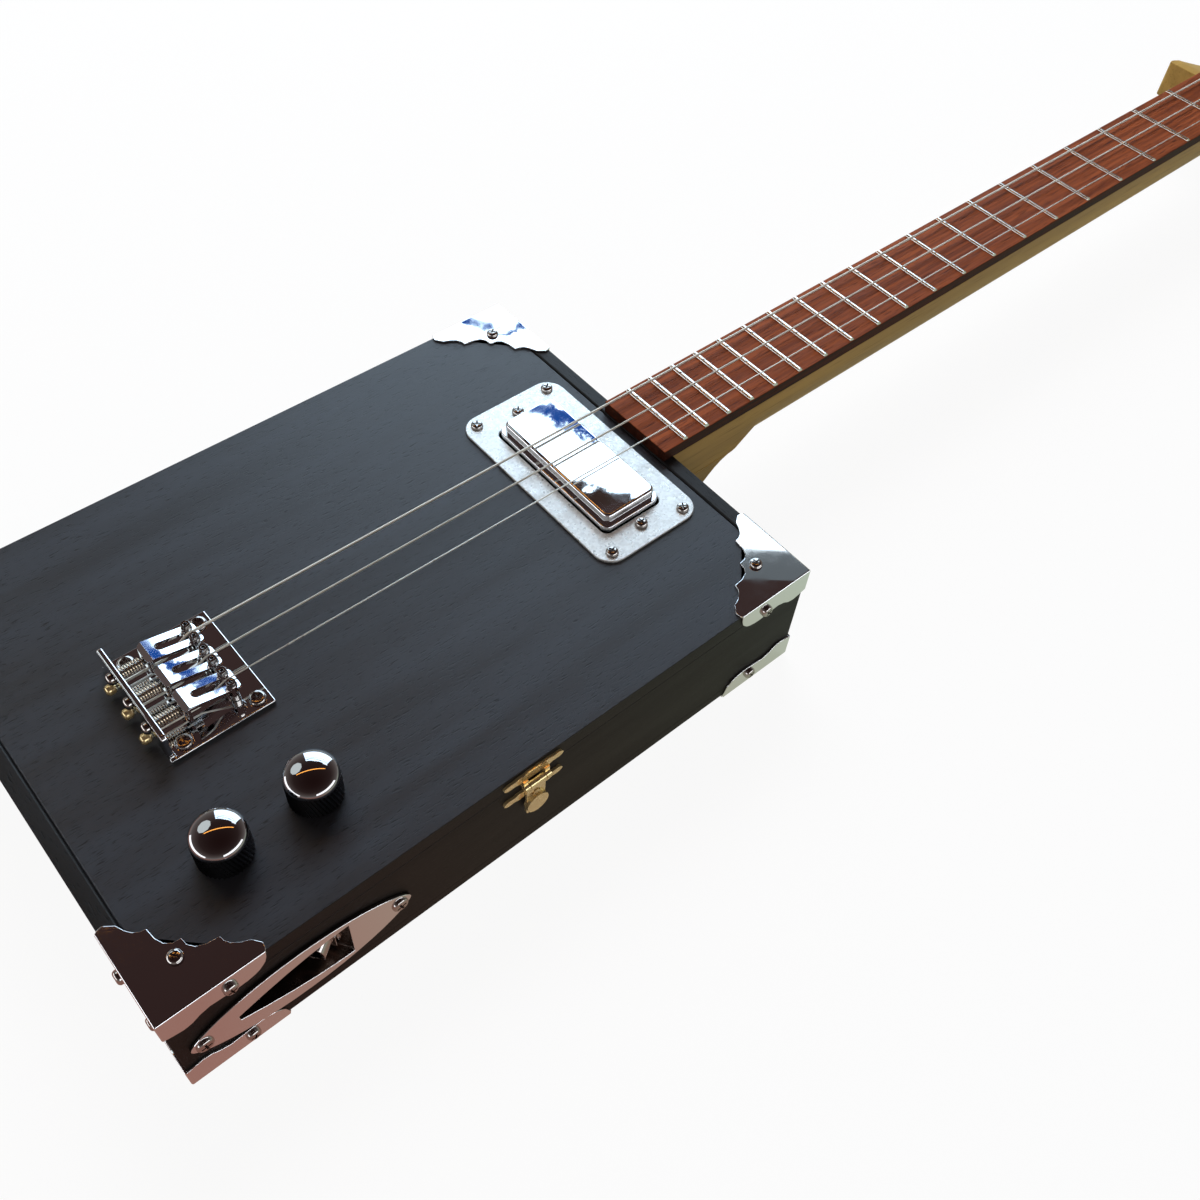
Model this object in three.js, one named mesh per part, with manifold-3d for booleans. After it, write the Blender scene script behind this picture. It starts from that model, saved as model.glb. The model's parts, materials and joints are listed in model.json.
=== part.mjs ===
// Cigar box guitar: three strings over a wooden box, with a sprung bridge, one pickup and two knobs.
// Millimetres. +X runs along the neck to the headstock, +Y to the heaviest string's side, +Z out of the lid.
// The origin lies on the back panel's outer face, on the neck's centre line, under the saddles' crests.
import * as THREE from "three";
import { mergeVertices } from "three/addons/utils/BufferGeometryUtils.js";
import Module from "manifold-3d";

const wasm = await Module();
wasm.setup();

// Driving dimensions

const scaleLength = 635;
const fretTotal = 20;
const stringSpacing = 12;
const seatGap = 0.3;
const cutOverrun = 1;
const mergeTolerance = 1e-4;

const box = { length: 268, width: 190, height: 52, tailOverhang: 74.3, sideShift: 1.8, wall: 6, back: 5 };
const lid = { thickness: 7.5, batten: 6, edgeChamfer: 0.7 };
const protector = {
  arm: 36, sheet: 0.9, endRound: 2.3, faceScrewAt: 14, flangeScrewAt: 22, flangeScrewDown: 5.4,
  cusps: [[33.7, 5.3], [27.2, 11.8], [18.3, 18.3], [11.8, 27.2], [5.3, 33.7]],
  arcMiddles: [[28.8, 8], [20.2, 13.5], [13.5, 20.2], [8, 28.8]],
  flangeWave: [[0, 10.5], [7, 12], [14, 8.6], [25, 9.6], [31, 8.2], [34, 5]],
};
const screw = { panRadius: 2.5, panHeight: 1.7, plateRadius: 3, plateHeight: 1.4 };

const neck = {
  width: 36.5, depth: 20, flatSide: 6, heelLength: 39, heelDrop: 46, roundAfterHeel: 12,
  headBlend: 14, ringPoints: 14, heelSquareness: 60, headSquareness: 8, roundness: 3.1, pocketFloor: 7.5,
};
const fretboard = { overLid: 5.4, thickness: 5.5 };
const fret = { width: 2.4, height: 1.1, inset: 0.4, root: 0.2, endBevel: 0.7 };
const nut = { thickness: 5, rise: 1.9, fall: 0.6, slotDepth: 0.9, slotClearance: 0.3 };
const headstock = {
  length: 146, halfWidth: 41, waist: 27, tipHalfWidth: 33, waistAt: 44, faceDrop: 7.5,
  rampStart: 6, rampEnd: 30, cornerRound: 4, crown: 9, tipSweep: 27,
};

const strings = [
  { name: "string_1", radius: 0.53, side: 1 },
  { name: "string_2", radius: 0.42, side: 0 },
  { name: "string_3", radius: 0.3, side: -1 },
];
const ball = { radius: 2, halfLength: 1.9 };

const bridge = {
  side: 2.2, rear: 29.7, front: 8.8, halfWidth: 23.8, plate: 2, flange: 2, flangeHeight: 14, flangeInset: 1.4,
  flangeChamfer: 1.2, screwInset: 4.2, frontScrewX: 4.2, rearScrewX: 23, screwHoleRise: 8.8,
  stringHoleRise: 4, stringHoleRadius: 1.1, bend: 1.5,
};
const saddle = {
  width: 9, rear: 18.7, front: 1.6, tab: 2, tabFoot: 5.5, rearHeight: 12.4, crestHeight: 9.2, sheet: 1.5,
  slotRear: 14, slotFront: 1.6, slotWidth: 3.4, slotEndFlat: 0.01, edgeDrop: 0.5, cornerRound: 1.6,
  bossRadius: 1.9, bossSide: 2.9, bossX: 1.2, bossTop: 10.2, bossFoot: 5.4,
  grubRadius: 1.3, grubTop: 11.9, socketRadius: 0.7, socketDepth: 1.2,
};
const intonation = { radius: 1.4, headRadius: 2.3, headLength: 2.1, reach: 5.5 };
const bridgeSpring = { wire: 0.45, radius: 2.05, curls: 8, stepsPerCurl: 8, sides: 5 };

const pickup = {
  fromBoxNeck: 35.1, plateLength: 48.4, plateWidth: 93.2, plateSheet: 1.2, plateRound: 8, coverLength: 25.2,
  coverWidth: 64.2, lip: 1.4, lipHeight: 3.4, topHeight: 8, coverRound: 3.2, topSteps: [[1.5, 0], [0.5, 0.5],
    [0, 1.5]],
  depth: 9, earReach: 9, earThickness: 2, earHalf: 5, slack: 1, screwSide: 38, screwRadius: 1.4,
    screwHeadRadius: 2.6, screwHeadHeight: 1.8,
  cornerScrewX: 18.1, cornerScrewY: 41.8, screwReach: 6,
};

const knobRow = { fromFront: 34.2, volumeX: 0.3, toneX: -32.3 };
const knob = {
  radius: 9.2, neckRadius: 8.7, lift: 1, sideTop: 12.3, neckTop: 12.9, domeTop: 17, hub: 12, hubRadius: 2.9,
    flat: 0.5,
};
const pot = { radius: 8.2, height: 8.5, bushRadius: 3.8, bushRise: 0.7, lugLength: 6, lugWidth: 2,
  lugThickness: 1, lugStep: 5 };

const jackPlate = {
  x: -30.3, z: 23, length: 80.5, height: 28.5, sheet: 1.4, blunt: 1.3, cup: 1.2, screwReach: 35.6,
    screwRadius: 3,
  recessTip: 23.5, recessEnd: 17, recessDepth: 15, recessFloor: 6.5, recessWall: 7, recessHeight: 20.5,
    tipHeight: 3, points: 40,
};
const jack = {
  barrel: 4.6, bore: 3.3, barrelLength: 9, nutAcross: 6.7, nutThickness: 2.3, bodyRadius: 6.2, bodyLength: 18,
    washer: 0.6,
  wallRadius: 5,
};

const clasp = {
  x: 61.5, sheet: 1, halfWidth: 12.6, upperDrop: 4.1, lowerDrop: 14.6, wingHeight: 2.1, wingTip: 0.9,
    wingCurl: 0.5,
  pinRadius: 0.6, knuckleRadius: 1.5, knuckle: 2, barrelHalf: 5.5, barrelDrop: 8, hangHalf: 4, hangFoot: 27.5,
  ovalDrop: 20.8, ovalHalfWidth: 4.6, ovalHalfHeight: 5.8, ovalRise: 1.3, standOff: 1.5, points: 36,
    nubRadius: 1.4,
  nubDrop: 15.6,
};

const tuner = {
  firstAt: 36, step: 36, side: 15.5, postRadius: 3, postRise: 15, waistRadius: 2.4, waistFrom: 3,
    waistTo: 8.5,
  bushRadius: 4.2, washerRadius: 6, washerHeight: 1.6, caseHalf: 7.4, caseHeight: 10, caseInner: 7.5,
    caseOuter: 14,
  caseRound: 2.5, collarRadius: 3.6, collarLength: 3, shaftRadius: 1.5, shaftDepth: 6, shaftDrop: 5.4,
    buttonGap: 4,
  buttonLength: 11, buttonHalf: 8, buttonHalfThick: 2.6, buttonBevel: 1.2, postDepth: 6,
};
const winding = { turns: 3, stepsPerTurn: 18, sides: 6, gap: 0.5, topDrop: 4.2 };

// Places that follow from the sizes

const boxTail = -box.tailOverhang;
const boxNeck = boxTail + box.length;
const boxFront = box.sideShift - box.width / 2;
const boxFar = box.sideShift + box.width / 2;
const lidTop = box.height;
const lidUnder = box.height - lid.thickness;
const neckUnder = lidTop - neck.depth;
const heelEnd = boxNeck + neck.heelLength;
const boardTail = boxNeck - fretboard.overLid;
const pickupX = boxNeck - pickup.fromBoxNeck;
const knobs = [
  { name: "volume", x: knobRow.volumeX, y: boxFront + knobRow.fromFront },
  { name: "tone", x: knobRow.toneX, y: boxFront + knobRow.fromFront },
];
const boardTop = lidTop + fretboard.thickness;
const nutTail = scaleLength;
const headStart = scaleLength + nut.thickness;
const headTip = headStart + headstock.length;
const headFace = lidTop - headstock.faceDrop;
const crestTop = lidTop + saddle.crestHeight;
const nutTop = boardTop + nut.rise;

const colours = {
  blackWood: [0x1d1d21, 0.5, 0], maple: [0xb08a5a, 0.5, 0], rosewood: [0x7a3a26, 0.55, 0], bone: [0xe6dfcb,
    0.4, 0],
  chrome: [0xd8dadd, 0.12, 1], darkChrome: [0x2a2a2e, 0.15, 1], satinSteel: [0xc9cccc, 0.45, 0.9],
  brass: [0xc9a86a, 0.35, 1], steel: [0xb9bbbd, 0.3, 1], nickel: [0xd0ccc2, 0.25, 1],
};

// Solid geometry helpers

function solid(geometry) {
  const bare = geometry.index ? geometry.toNonIndexed() : geometry.clone();
  bare.deleteAttribute("normal");
  bare.deleteAttribute("uv");
  const merged = mergeVertices(bare, mergeTolerance);
  const index = merged.index.array;
  const places = merged.attributes.position;
  const triangles = [];
  const [a, b, c] = [new THREE.Vector3(), new THREE.Vector3(), new THREE.Vector3()];
  let volume = 0;
  for (let i = 0; i < index.length; i += 3) {
    const corners = [index[i], index[i + 1], index[i + 2]];
    if (new Set(corners).size < 3) continue;
    triangles.push(...corners);
    a.fromBufferAttribute(places, corners[0]);
    b.fromBufferAttribute(places, corners[1]);
    c.fromBufferAttribute(places, corners[2]);
    volume += a.dot(b.cross(c));
  }
  if (volume < 0) triangles.reverse();
  const vertProperties = Float32Array.from(places.array);
  const triVerts = Uint32Array.from(triangles);
  return new wasm.Manifold(new wasm.Mesh({ numProp: 3, vertProperties, triVerts }));
}

function geometryOf(body) {
  const mesh = body.getMesh();
  const geometry = new THREE.BufferGeometry();
  geometry.setAttribute("position", new THREE.BufferAttribute(Float32Array.from(mesh.vertProperties), 3));
  geometry.setIndex(Array.from(mesh.triVerts));
  geometry.computeVertexNormals();
  return geometry;
}

function join(first, ...rest) {
  return rest.reduce((body, next) => body.add(next), first);
}

function cut(first, ...rest) {
  return rest.reduce((body, next) => body.subtract(next), first);
}

function block(x0, x1, y0, y1, z0, z1) {
  const geometry = new THREE.BoxGeometry(x1 - x0, y1 - y0, z1 - z0);
  geometry.translate((x0 + x1) / 2, (y0 + y1) / 2, (z0 + z1) / 2);
  return solid(geometry);
}

const axisBases = {
  x: [new THREE.Vector3(0, 1, 0), new THREE.Vector3(0, 0, 1), new THREE.Vector3(1, 0, 0), 1],
  y: [new THREE.Vector3(1, 0, 0), new THREE.Vector3(0, 0, 1), new THREE.Vector3(0, -1, 0), -1],
  z: [new THREE.Vector3(1, 0, 0), new THREE.Vector3(0, 1, 0), new THREE.Vector3(0, 0, 1), 1],
};

// Extrudes a flat outline along an axis: the outline lies in (Y, Z) for x, (X, Z) for y and (X, Y) for z.
function extruded(shape, axis, from, to, curveSegments = 6) {
  const [right, up, along, way] = axisBases[axis];
  const geometry = new THREE.ExtrudeGeometry(shape, { depth: to - from, bevelEnabled: false, curveSegments });
  geometry.applyMatrix4(new THREE.Matrix4().makeBasis(right, up, along));
  const start = way > 0 ? from : to;
  geometry.translate(axis === "x" ? start : 0, axis === "y" ? start : 0, axis === "z" ? start : 0);
  return solid(geometry);
}

function outline(points) {
  return new THREE.Shape(points.map(([x, y]) => new THREE.Vector2(x, y)));
}

function roundedRectangle(x0, x1, y0, y1, radius) {
  const shape = new THREE.Shape();
  const quarter = Math.PI / 2;
  shape.moveTo(x0 + radius, y0);
  shape.lineTo(x1 - radius, y0);
  shape.absarc(x1 - radius, y0 + radius, radius, -quarter, 0, false);
  shape.lineTo(x1, y1 - radius);
  shape.absarc(x1 - radius, y1 - radius, radius, 0, quarter, false);
  shape.lineTo(x0 + radius, y1);
  shape.absarc(x0 + radius, y1 - radius, radius, quarter, 2 * quarter, false);
  shape.lineTo(x0, y0 + radius);
  shape.absarc(x0 + radius, y0 + radius, radius, 2 * quarter, 3 * quarter, false);
  return shape;
}

function turnTo(geometry, place, direction) {
  const turn = new THREE.Quaternion().setFromUnitVectors(new THREE.Vector3(0, 1, 0),
    direction.clone().normalize());
  geometry.applyQuaternion(turn);
  geometry.translate(place.x, place.y, place.z);
  return solid(geometry);
}

function rod(radius, start, end, sides = 16) {
  const way = end.clone().sub(start);
  const geometry = new THREE.CylinderGeometry(radius, radius, way.length(), sides);
  return turnTo(geometry, start.clone().add(end).multiplyScalar(0.5), way);
}

// Turns a profile of [radius, height] pairs about the direction, from the place given.
function turned(profile, place, direction, sides = 16) {
  const points = profile.map(([radius, height]) => new THREE.Vector2(radius, height));
  return turnTo(new THREE.LatheGeometry(points, sides), place, direction);
}

function point(x, y, z) {
  return new THREE.Vector3(x, y, z);
}

const up = point(0, 0, 1);
const down = point(0, 0, -1);
const frontward = point(0, -1, 0);
const farward = point(0, 1, 0);
const tailward = point(-1, 0, 0);
const neckward = point(1, 0, 0);

function panHead(place, direction, radius, height) {
  const shoulderShare = 0.45;
  const crownShare = 0.62;
  const profile = [[0, height], [radius * crownShare, height], [radius, height * shoulderShare], [radius, 0],
    [0, 0]];
  return turned(profile, place, direction, 8);
}

// One closed tube through rings of points; every ring has the same number of points.
function tubeThroughRings(rings) {
  const count = rings[0].length;
  const places = rings.flat().flatMap((p) => [p.x, p.y, p.z]);
  const middleOf = (ring) => ring.reduce((sum, p) => sum.add(p), point(0, 0, 0)).divideScalar(ring.length);
  const first = middleOf(rings[0]);
  const last = middleOf(rings[rings.length - 1]);
  places.push(first.x, first.y, first.z, last.x, last.y, last.z);
  const firstMiddle = rings.length * count;
  const lastRing = (rings.length - 1) * count;
  const triangles = [];
  for (let side = 0; side < count; side += 1) {
    const next = (side + 1) % count;
    for (let ring = 0; ring < rings.length - 1; ring += 1) {
      const here = ring * count;
      const there = here + count;
      triangles.push(here + side, here + next, there + next, here + side, there + next, there + side);
    }
    triangles.push(firstMiddle, next, side, firstMiddle + 1, lastRing + side, lastRing + next);
  }
  const geometry = new THREE.BufferGeometry();
  geometry.setAttribute("position", new THREE.BufferAttribute(Float32Array.from(places), 3));
  geometry.setIndex(triangles);
  return solid(geometry);
}

// Rings of a round wire along stations, each with its centre, its outward direction and its way along.
function wireRings(stations, radius, sides) {
  return stations.map(({ centre, outward, along }) => {
    const across = along.clone().cross(outward).normalize();
    return Array.from({ length: sides }, (_, side) => {
      const angle = (2 * Math.PI * side) / sides;
      const offset = outward.clone().multiplyScalar(Math.cos(angle) * radius);
      return centre.clone().add(offset).addScaledVector(across, Math.sin(angle) * radius);
    });
  });
}

// Stations of a helix about an axis through a place, with a straight end of one wire diameter at each end.
function helixStations({ place, axis, start, sense, radius, pitch, turns, steps, straight }) {
  const reference = start.clone().normalize();
  const side = axis.clone().cross(reference).normalize().multiplyScalar(sense);
  const stations = [];
  const total = Math.round(turns * steps);
  for (let step = 0; step <= total; step += 1) {
    const angle = (2 * Math.PI * step) / steps;
    const outward = reference.clone().multiplyScalar(Math.cos(angle)).addScaledVector(side, Math.sin(angle));
    const round = reference.clone().multiplyScalar(-Math.sin(angle)).addScaledVector(side, Math.cos(angle));
    const along = round.multiplyScalar(2 * Math.PI * radius).addScaledVector(axis, pitch).normalize();
    const centre = place.clone().addScaledVector(outward, radius).addScaledVector(axis,
      (pitch * step) / steps);
    stations.push({ centre, outward, along });
  }
  const first = stations[0];
  const last = stations[stations.length - 1];
  stations.unshift({ ...first, centre: first.centre.clone().addScaledVector(first.along, -straight) });
  stations.push({ ...last, centre: last.centre.clone().addScaledVector(last.along, straight) });
  return stations;
}

// Prints the least gap between the turns of a wound wire, measured between its own stations.
function printSelfGap(name, stations, diameter, steps) {
  const neighbours = Math.ceil(steps / 2);
  let least = Infinity;
  for (let i = 0; i < stations.length; i += 1) {
    for (let j = i + neighbours; j < stations.length; j += 1) {
      least = Math.min(least, stations[i].centre.distanceTo(stations[j].centre) - diameter);
    }
  }
  console.log(`${name}: least gap to itself ${least.toFixed(2)} mm`);
}

const guitar = new THREE.Group();

function place(name, body, colour) {
  const geometry = body.isBufferGeometry ? body : geometryOf(body);
  const [color, roughness, metalness] = colour;
  const mesh = new THREE.Mesh(geometry, new THREE.MeshStandardMaterial({ color, roughness, metalness }));
  mesh.name = name;
  guitar.add(mesh);
}

// Box

function backPanel() {
  const lengthCells = 6;
  const widthCells = 5;
  const geometry = new THREE.BoxGeometry(box.length, box.width, box.back, lengthCells, widthCells, 1);
  geometry.translate(boxTail + box.length / 2, box.sideShift, box.back / 2);
  return geometry;
}

function wallBlock(x0, x1, y0, y1) {
  return block(x0, x1, y0, y1, box.back, lidUnder);
}

function neckPassage(x0, x1) {
  const half = neck.width / 2;
  return block(x0, x1, -half, half, neckUnder, lidUnder + cutOverrun);
}

function boxWalls() {
  const innerFront = boxFront + box.wall;
  const innerFar = boxFar - box.wall;
  const front = cut(wallBlock(boxTail, boxNeck, boxFront, innerFront), jackPocket());
  const neckWall = wallBlock(boxNeck - box.wall, boxNeck, innerFront, innerFar);
  place("wall_front", front, colours.blackWood);
  place("wall_far", wallBlock(boxTail, boxNeck, innerFar, boxFar), colours.blackWood);
  place("wall_tail", wallBlock(boxTail, boxTail + box.wall, innerFront, innerFar), colours.blackWood);
  place("wall_neck", cut(neckWall, neckPassage(boxNeck - box.wall - cutOverrun, boxNeck + cutOverrun)),
    colours.blackWood);
}

// Half of the lid's edge groove is a small chamfer on each of the two pieces that meet there.
function lidBatten(outer, inner) {
  const way = Math.sign(inner - outer);
  const profile = [[outer, lidUnder], [inner, lidUnder], [inner, lidTop - lid.edgeChamfer],
    [inner - way * lid.edgeChamfer, lidTop], [outer, lidTop]];
  return extruded(outline(profile), "y", boxFront, boxFar);
}

function lidPanel() {
  const tail = boxTail + lid.batten;
  const head = boxNeck - lid.batten;
  const chamfer = lid.edgeChamfer;
  const profile = [[tail, lidUnder], [head, lidUnder], [head, lidTop - chamfer], [head - chamfer, lidTop],
    [tail + chamfer, lidTop], [tail, lidTop - chamfer]];
  const panel = extruded(outline(profile), "y", boxFront, boxFar);
  const halfLength = pickup.coverLength / 2 + pickup.lip + pickup.slack;
  const halfWidth = pickup.coverWidth / 2 + pickup.lip + pickup.earReach + pickup.slack;
  const opening = block(pickupX - halfLength, pickupX + halfLength, -halfWidth, halfWidth,
    lidUnder - cutOverrun, lidTop + cutOverrun);
  const holes = knobs.map(({ x, y }) => rod(pot.bushRadius + seatGap, point(x, y, lidUnder - cutOverrun),
    point(x, y, lidTop + cutOverrun), 20));
  return cut(panel, opening, ...holes);
}

function makeBox() {
  place("back_panel", backPanel(), colours.blackWood);
  boxWalls();
  place("lid_panel", lidPanel(), colours.blackWood);
  place("lid_batten_tail", lidBatten(boxTail, boxTail + lid.batten), colours.blackWood);
  place("lid_batten_neck", lidBatten(boxNeck, boxNeck - lid.batten), colours.blackWood);
}

// Corner protectors: a pressed sheet with a scalloped inner edge and two waved flanges.

// The scallops are arcs through their middles, from cusp to cusp.
function protectorFace() {
  const p = protector;
  const shape = new THREE.Shape();
  const [firstX, firstY] = p.cusps[0];
  const [lastX, lastY] = p.cusps[p.cusps.length - 1];
  shape.moveTo(-p.sheet, -p.sheet);
  shape.lineTo(p.arm - p.endRound, -p.sheet);
  shape.quadraticCurveTo(p.arm, -p.sheet, p.arm, p.endRound);
  shape.lineTo(firstX, firstY);
  p.arcMiddles.forEach(([middleX, middleY], index) => {
    const [x0, y0] = p.cusps[index];
    const [x1, y1] = p.cusps[index + 1];
    shape.quadraticCurveTo(2 * middleX - (x0 + x1) / 2, 2 * middleY - (y0 + y1) / 2, x1, y1);
  });
  shape.lineTo(lastX - p.endRound - p.sheet, lastY + p.endRound);
  shape.quadraticCurveTo(-p.sheet, p.arm, -p.sheet, p.arm - p.endRound);
  return shape;
}

function protectorFlange() {
  const p = protector;
  const wave = p.flangeWave.map(([along, depth]) => new THREE.Vector2(along, -depth));
  const shape = new THREE.Shape();
  shape.moveTo(-p.sheet, p.sheet);
  shape.lineTo(-p.sheet, wave[0].y);
  shape.lineTo(wave[0].x, wave[0].y);
  shape.splineThru(wave.slice(1));
  shape.quadraticCurveTo(p.arm - p.sheet, wave[wave.length - 1].y / 2, p.arm - p.sheet, p.sheet);
  return shape;
}

// Made at the corner of the first quadrant, face upwards, then mirrored into its own corner.
function protectorBody() {
  const p = protector;
  const face = extruded(protectorFace(), "z", 0, p.sheet, 4);
  const flangeX = extruded(protectorFlange(), "y", -p.sheet, 0, 2);
  const swap = new THREE.Matrix4().makeBasis(farward, neckward, up);
  const flangeY = flangeX.transform(swap.toArray());
  const screws = [
    panHead(point(p.faceScrewAt, p.faceScrewAt, p.sheet), up, screw.panRadius, screw.panHeight),
    panHead(point(p.flangeScrewAt, -p.sheet, -p.flangeScrewDown), frontward, screw.panRadius,
      screw.panHeight),
    panHead(point(-p.sheet, p.flangeScrewAt, -p.flangeScrewDown), tailward, screw.panRadius, screw.panHeight),
  ];
  return join(face, flangeX, flangeY, ...screws);
}

function makeProtectors() {
  const body = protectorBody();
  const ends = { tail: [boxTail, 1], neck: [boxNeck, -1] };
  const sides = { front: [boxFront, 1], far: [boxFar, -1] };
  const levels = { top: [lidTop, 1], bottom: [0, -1] };
  for (const [endName, [x, wayX]] of Object.entries(ends)) {
    for (const [sideName, [y, wayY]] of Object.entries(sides)) {
      for (const [levelName, [z, wayZ]] of Object.entries(levels)) {
        const flip = new THREE.Matrix4().makeScale(wayX, wayY, wayZ).setPosition(x, y, z);
        place(`protector_${levelName}_${endName}_${sideName}`, body.transform(flip.toArray()),
          colours.chrome);
      }
    }
  }
}

// Neck, heel, headstock and fretboard

// One section of the neck: a flat top, straight shoulders and a back whose squareness can change.
function neckSection(x, top, depth, exponent) {
  const half = neck.width / 2;
  const drop = depth - neck.flatSide;
  const ring = [point(x, half, top), point(x, -half, top)];
  const arcs = neck.ringPoints - 2;
  for (let step = 0; step < arcs; step += 1) {
    const angle = Math.PI * (1 + step / (arcs - 1));
    const side = Math.cos(angle);
    const y = Math.sign(side) * half * Math.abs(side) ** (2 / exponent);
    const z = top - neck.flatSide - drop * Math.abs(Math.sin(angle)) ** (2 / exponent);
    ring.push(point(x, y, z));
  }
  return ring;
}

function neckBack() {
  const roundEnd = headStart - neck.headBlend;
  const stations = [
    [boxNeck, neck.heelSquareness], [heelEnd, neck.heelSquareness],
    [heelEnd + neck.roundAfterHeel, neck.roundness],
    [roundEnd, neck.roundness], [headStart, neck.headSquareness],
  ];
  return tubeThroughRings(stations.map(([x, exponent]) => neckSection(x, lidTop, neck.depth, exponent)));
}

function headstockProfile() {
  const h = headstock;
  return outline([
    [headStart, neckUnder], [headTip, neckUnder], [headTip, headFace], [headStart + h.rampEnd, headFace],
    [headStart + h.rampStart, lidTop], [headStart, lidTop],
  ]);
}

function headstockPlan() {
  const h = headstock;
  const shape = new THREE.Shape();
  const waistX = headStart + h.waistAt;
  const corner = h.cornerRound;
  shape.moveTo(headStart, -h.halfWidth + corner);
  shape.quadraticCurveTo(headStart, -h.halfWidth, headStart + corner, -h.halfWidth + corner / 2);
  shape.quadraticCurveTo(headStart + h.waistAt / 2, -h.waist, waistX, -h.waist);
  shape.quadraticCurveTo(headTip - h.tipSweep, -h.waist, headTip - h.crown, -h.tipHalfWidth);
  shape.quadraticCurveTo(headTip, -h.tipHalfWidth / 2, headTip, 0);
  shape.quadraticCurveTo(headTip, h.tipHalfWidth / 2, headTip - h.crown, h.tipHalfWidth);
  shape.quadraticCurveTo(headTip - h.tipSweep, h.waist, waistX, h.waist);
  shape.quadraticCurveTo(headStart + h.waistAt / 2, h.waist, headStart + corner, h.halfWidth - corner / 2);
  shape.quadraticCurveTo(headStart, h.halfWidth, headStart, h.halfWidth - corner);
  return shape;
}

function headstockBody() {
  const reach = headstock.halfWidth + cutOverrun;
  const profile = extruded(headstockProfile(), "y", -reach, reach);
  const plan = extruded(headstockPlan(), "z", neckUnder - cutOverrun, lidTop + cutOverrun, 8);
  return cut(profile.intersect(plan), ...tuners.map(({ x, y }) => rod(tuner.bushRadius + seatGap,
    point(x, y, neckUnder - cutOverrun), point(x, y, lidTop + cutOverrun), 20)));
}

function innerBeam() {
  const half = neck.width / 2;
  const beam = block(boxTail + box.wall, boxNeck + cutOverrun, -half, half, neckUnder, lidUnder);
  const halfLength = pickup.coverLength / 2 + pickup.lip + pickup.slack;
  const pocketFloor = neckUnder + neck.pocketFloor;
  const pocket = block(pickupX - halfLength, pickupX + halfLength, -half - cutOverrun, half + cutOverrun,
    pocketFloor, lidUnder + cutOverrun);
  return cut(beam, pocket);
}

// The heel block's underside is an ogee from the box wall up to the neck's back.
function heelBlock() {
  const half = neck.width / 2;
  const shape = new THREE.Shape();
  const foot = lidTop - neck.heelDrop;
  const reach = neck.heelLength;
  const steepShare = 0.5;
  const flatShare = 0.62;
  const footRise = 8;
  shape.moveTo(boxNeck, neckUnder);
  shape.lineTo(boxNeck, foot);
  shape.bezierCurveTo(boxNeck + reach * steepShare, foot + footRise, boxNeck + reach * flatShare, neckUnder,
    heelEnd, neckUnder);
  return extruded(shape, "y", -half, half, 10);
}

function makeNeck() {
  const half = neck.width / 2;
  const head = headstockBody();
  const inner = block(headStart - cutOverrun, headTip + cutOverrun, -half, half, neckUnder - cutOverrun,
    lidTop + cutOverrun);
  const farEar = block(headStart - cutOverrun, headTip + cutOverrun, half,
    headstock.halfWidth + 2 * cutOverrun,
    neckUnder - cutOverrun, lidTop + cutOverrun);
  const nearEar = block(headStart - cutOverrun, headTip + cutOverrun, -headstock.halfWidth - 2 * cutOverrun,
    -half,
    neckUnder - cutOverrun, lidTop + cutOverrun);
  place("neck", join(innerBeam(), neckBack(), head.intersect(inner)), colours.maple);
  place("headstock_ear_far", head.intersect(farEar), colours.maple);
  place("headstock_ear_near", head.intersect(nearEar), colours.maple);
  place("heel_block", heelBlock(), colours.maple);
}

function fretPlace(number) {
  const stepsPerOctave = 12;
  return scaleLength / 2 ** (number / stepsPerOctave);
}

// A fret's crown, seen from the front edge of the board, with bevelled ends.
function fretBody(x) {
  const half = neck.width / 2 - fret.inset;
  const crownShare = 0.5;
  const arch = outline([
    [x - fret.width / 2, boardTop - fret.root], [x + fret.width / 2, boardTop - fret.root],
    [x + fret.width / 2, boardTop + fret.height * crownShare], [x, boardTop + fret.height],
    [x - fret.width / 2, boardTop + fret.height * crownShare],
  ]);
  const ends = outline([
    [-half, boardTop - fret.root], [half, boardTop - fret.root], [half - fret.endBevel,
      boardTop + fret.height],
    [-half + fret.endBevel, boardTop + fret.height],
  ]);
  const crown = extruded(arch, "y", -half, half);
  return crown.intersect(extruded(ends, "x", x - fret.width, x + fret.width));
}

function makeFretboard() {
  const half = neck.width / 2;
  const board = block(boardTail, nutTail, -half, half, lidTop, boardTop);
  const places = Array.from({ length: fretTotal }, (_, index) => fretPlace(index + 1));
  const frets = places.filter((x) => x - fret.width > boardTail).map(fretBody);
  place("fretboard", join(board, ...frets), colours.rosewood);
}

function makeNut() {
  const half = neck.width / 2;
  const profile = outline([[nutTail, lidTop], [headStart, lidTop], [headStart, nutTop - nut.fall], [nutTail,
    nutTop]]);
  const slots = strings.map(({ radius, side }) => {
    const reach = radius + nut.slotClearance;
    const y = side * stringSpacing;
    return block(nutTail - cutOverrun, headStart + cutOverrun, y - reach, y + reach,
      nutTop - nut.slotDepth - nut.fall,
      nutTop + cutOverrun);
  });
  place("nut", cut(extruded(profile, "y", -half, half), ...slots), colours.bone);
}

// Tuners: the two far ones hold the far and the middle string, the near one holds the near string.

const tuners = [
  { name: "tuner_1", string: 0, way: 1, x: headStart + tuner.firstAt, y: tuner.side },
  { name: "tuner_2", string: 1, way: 1, x: headStart + tuner.firstAt + 2 * tuner.step, y: tuner.side },
  { name: "tuner_3", string: 2, way: -1, x: headStart + tuner.firstAt + tuner.step, y: -tuner.side },
];

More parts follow.
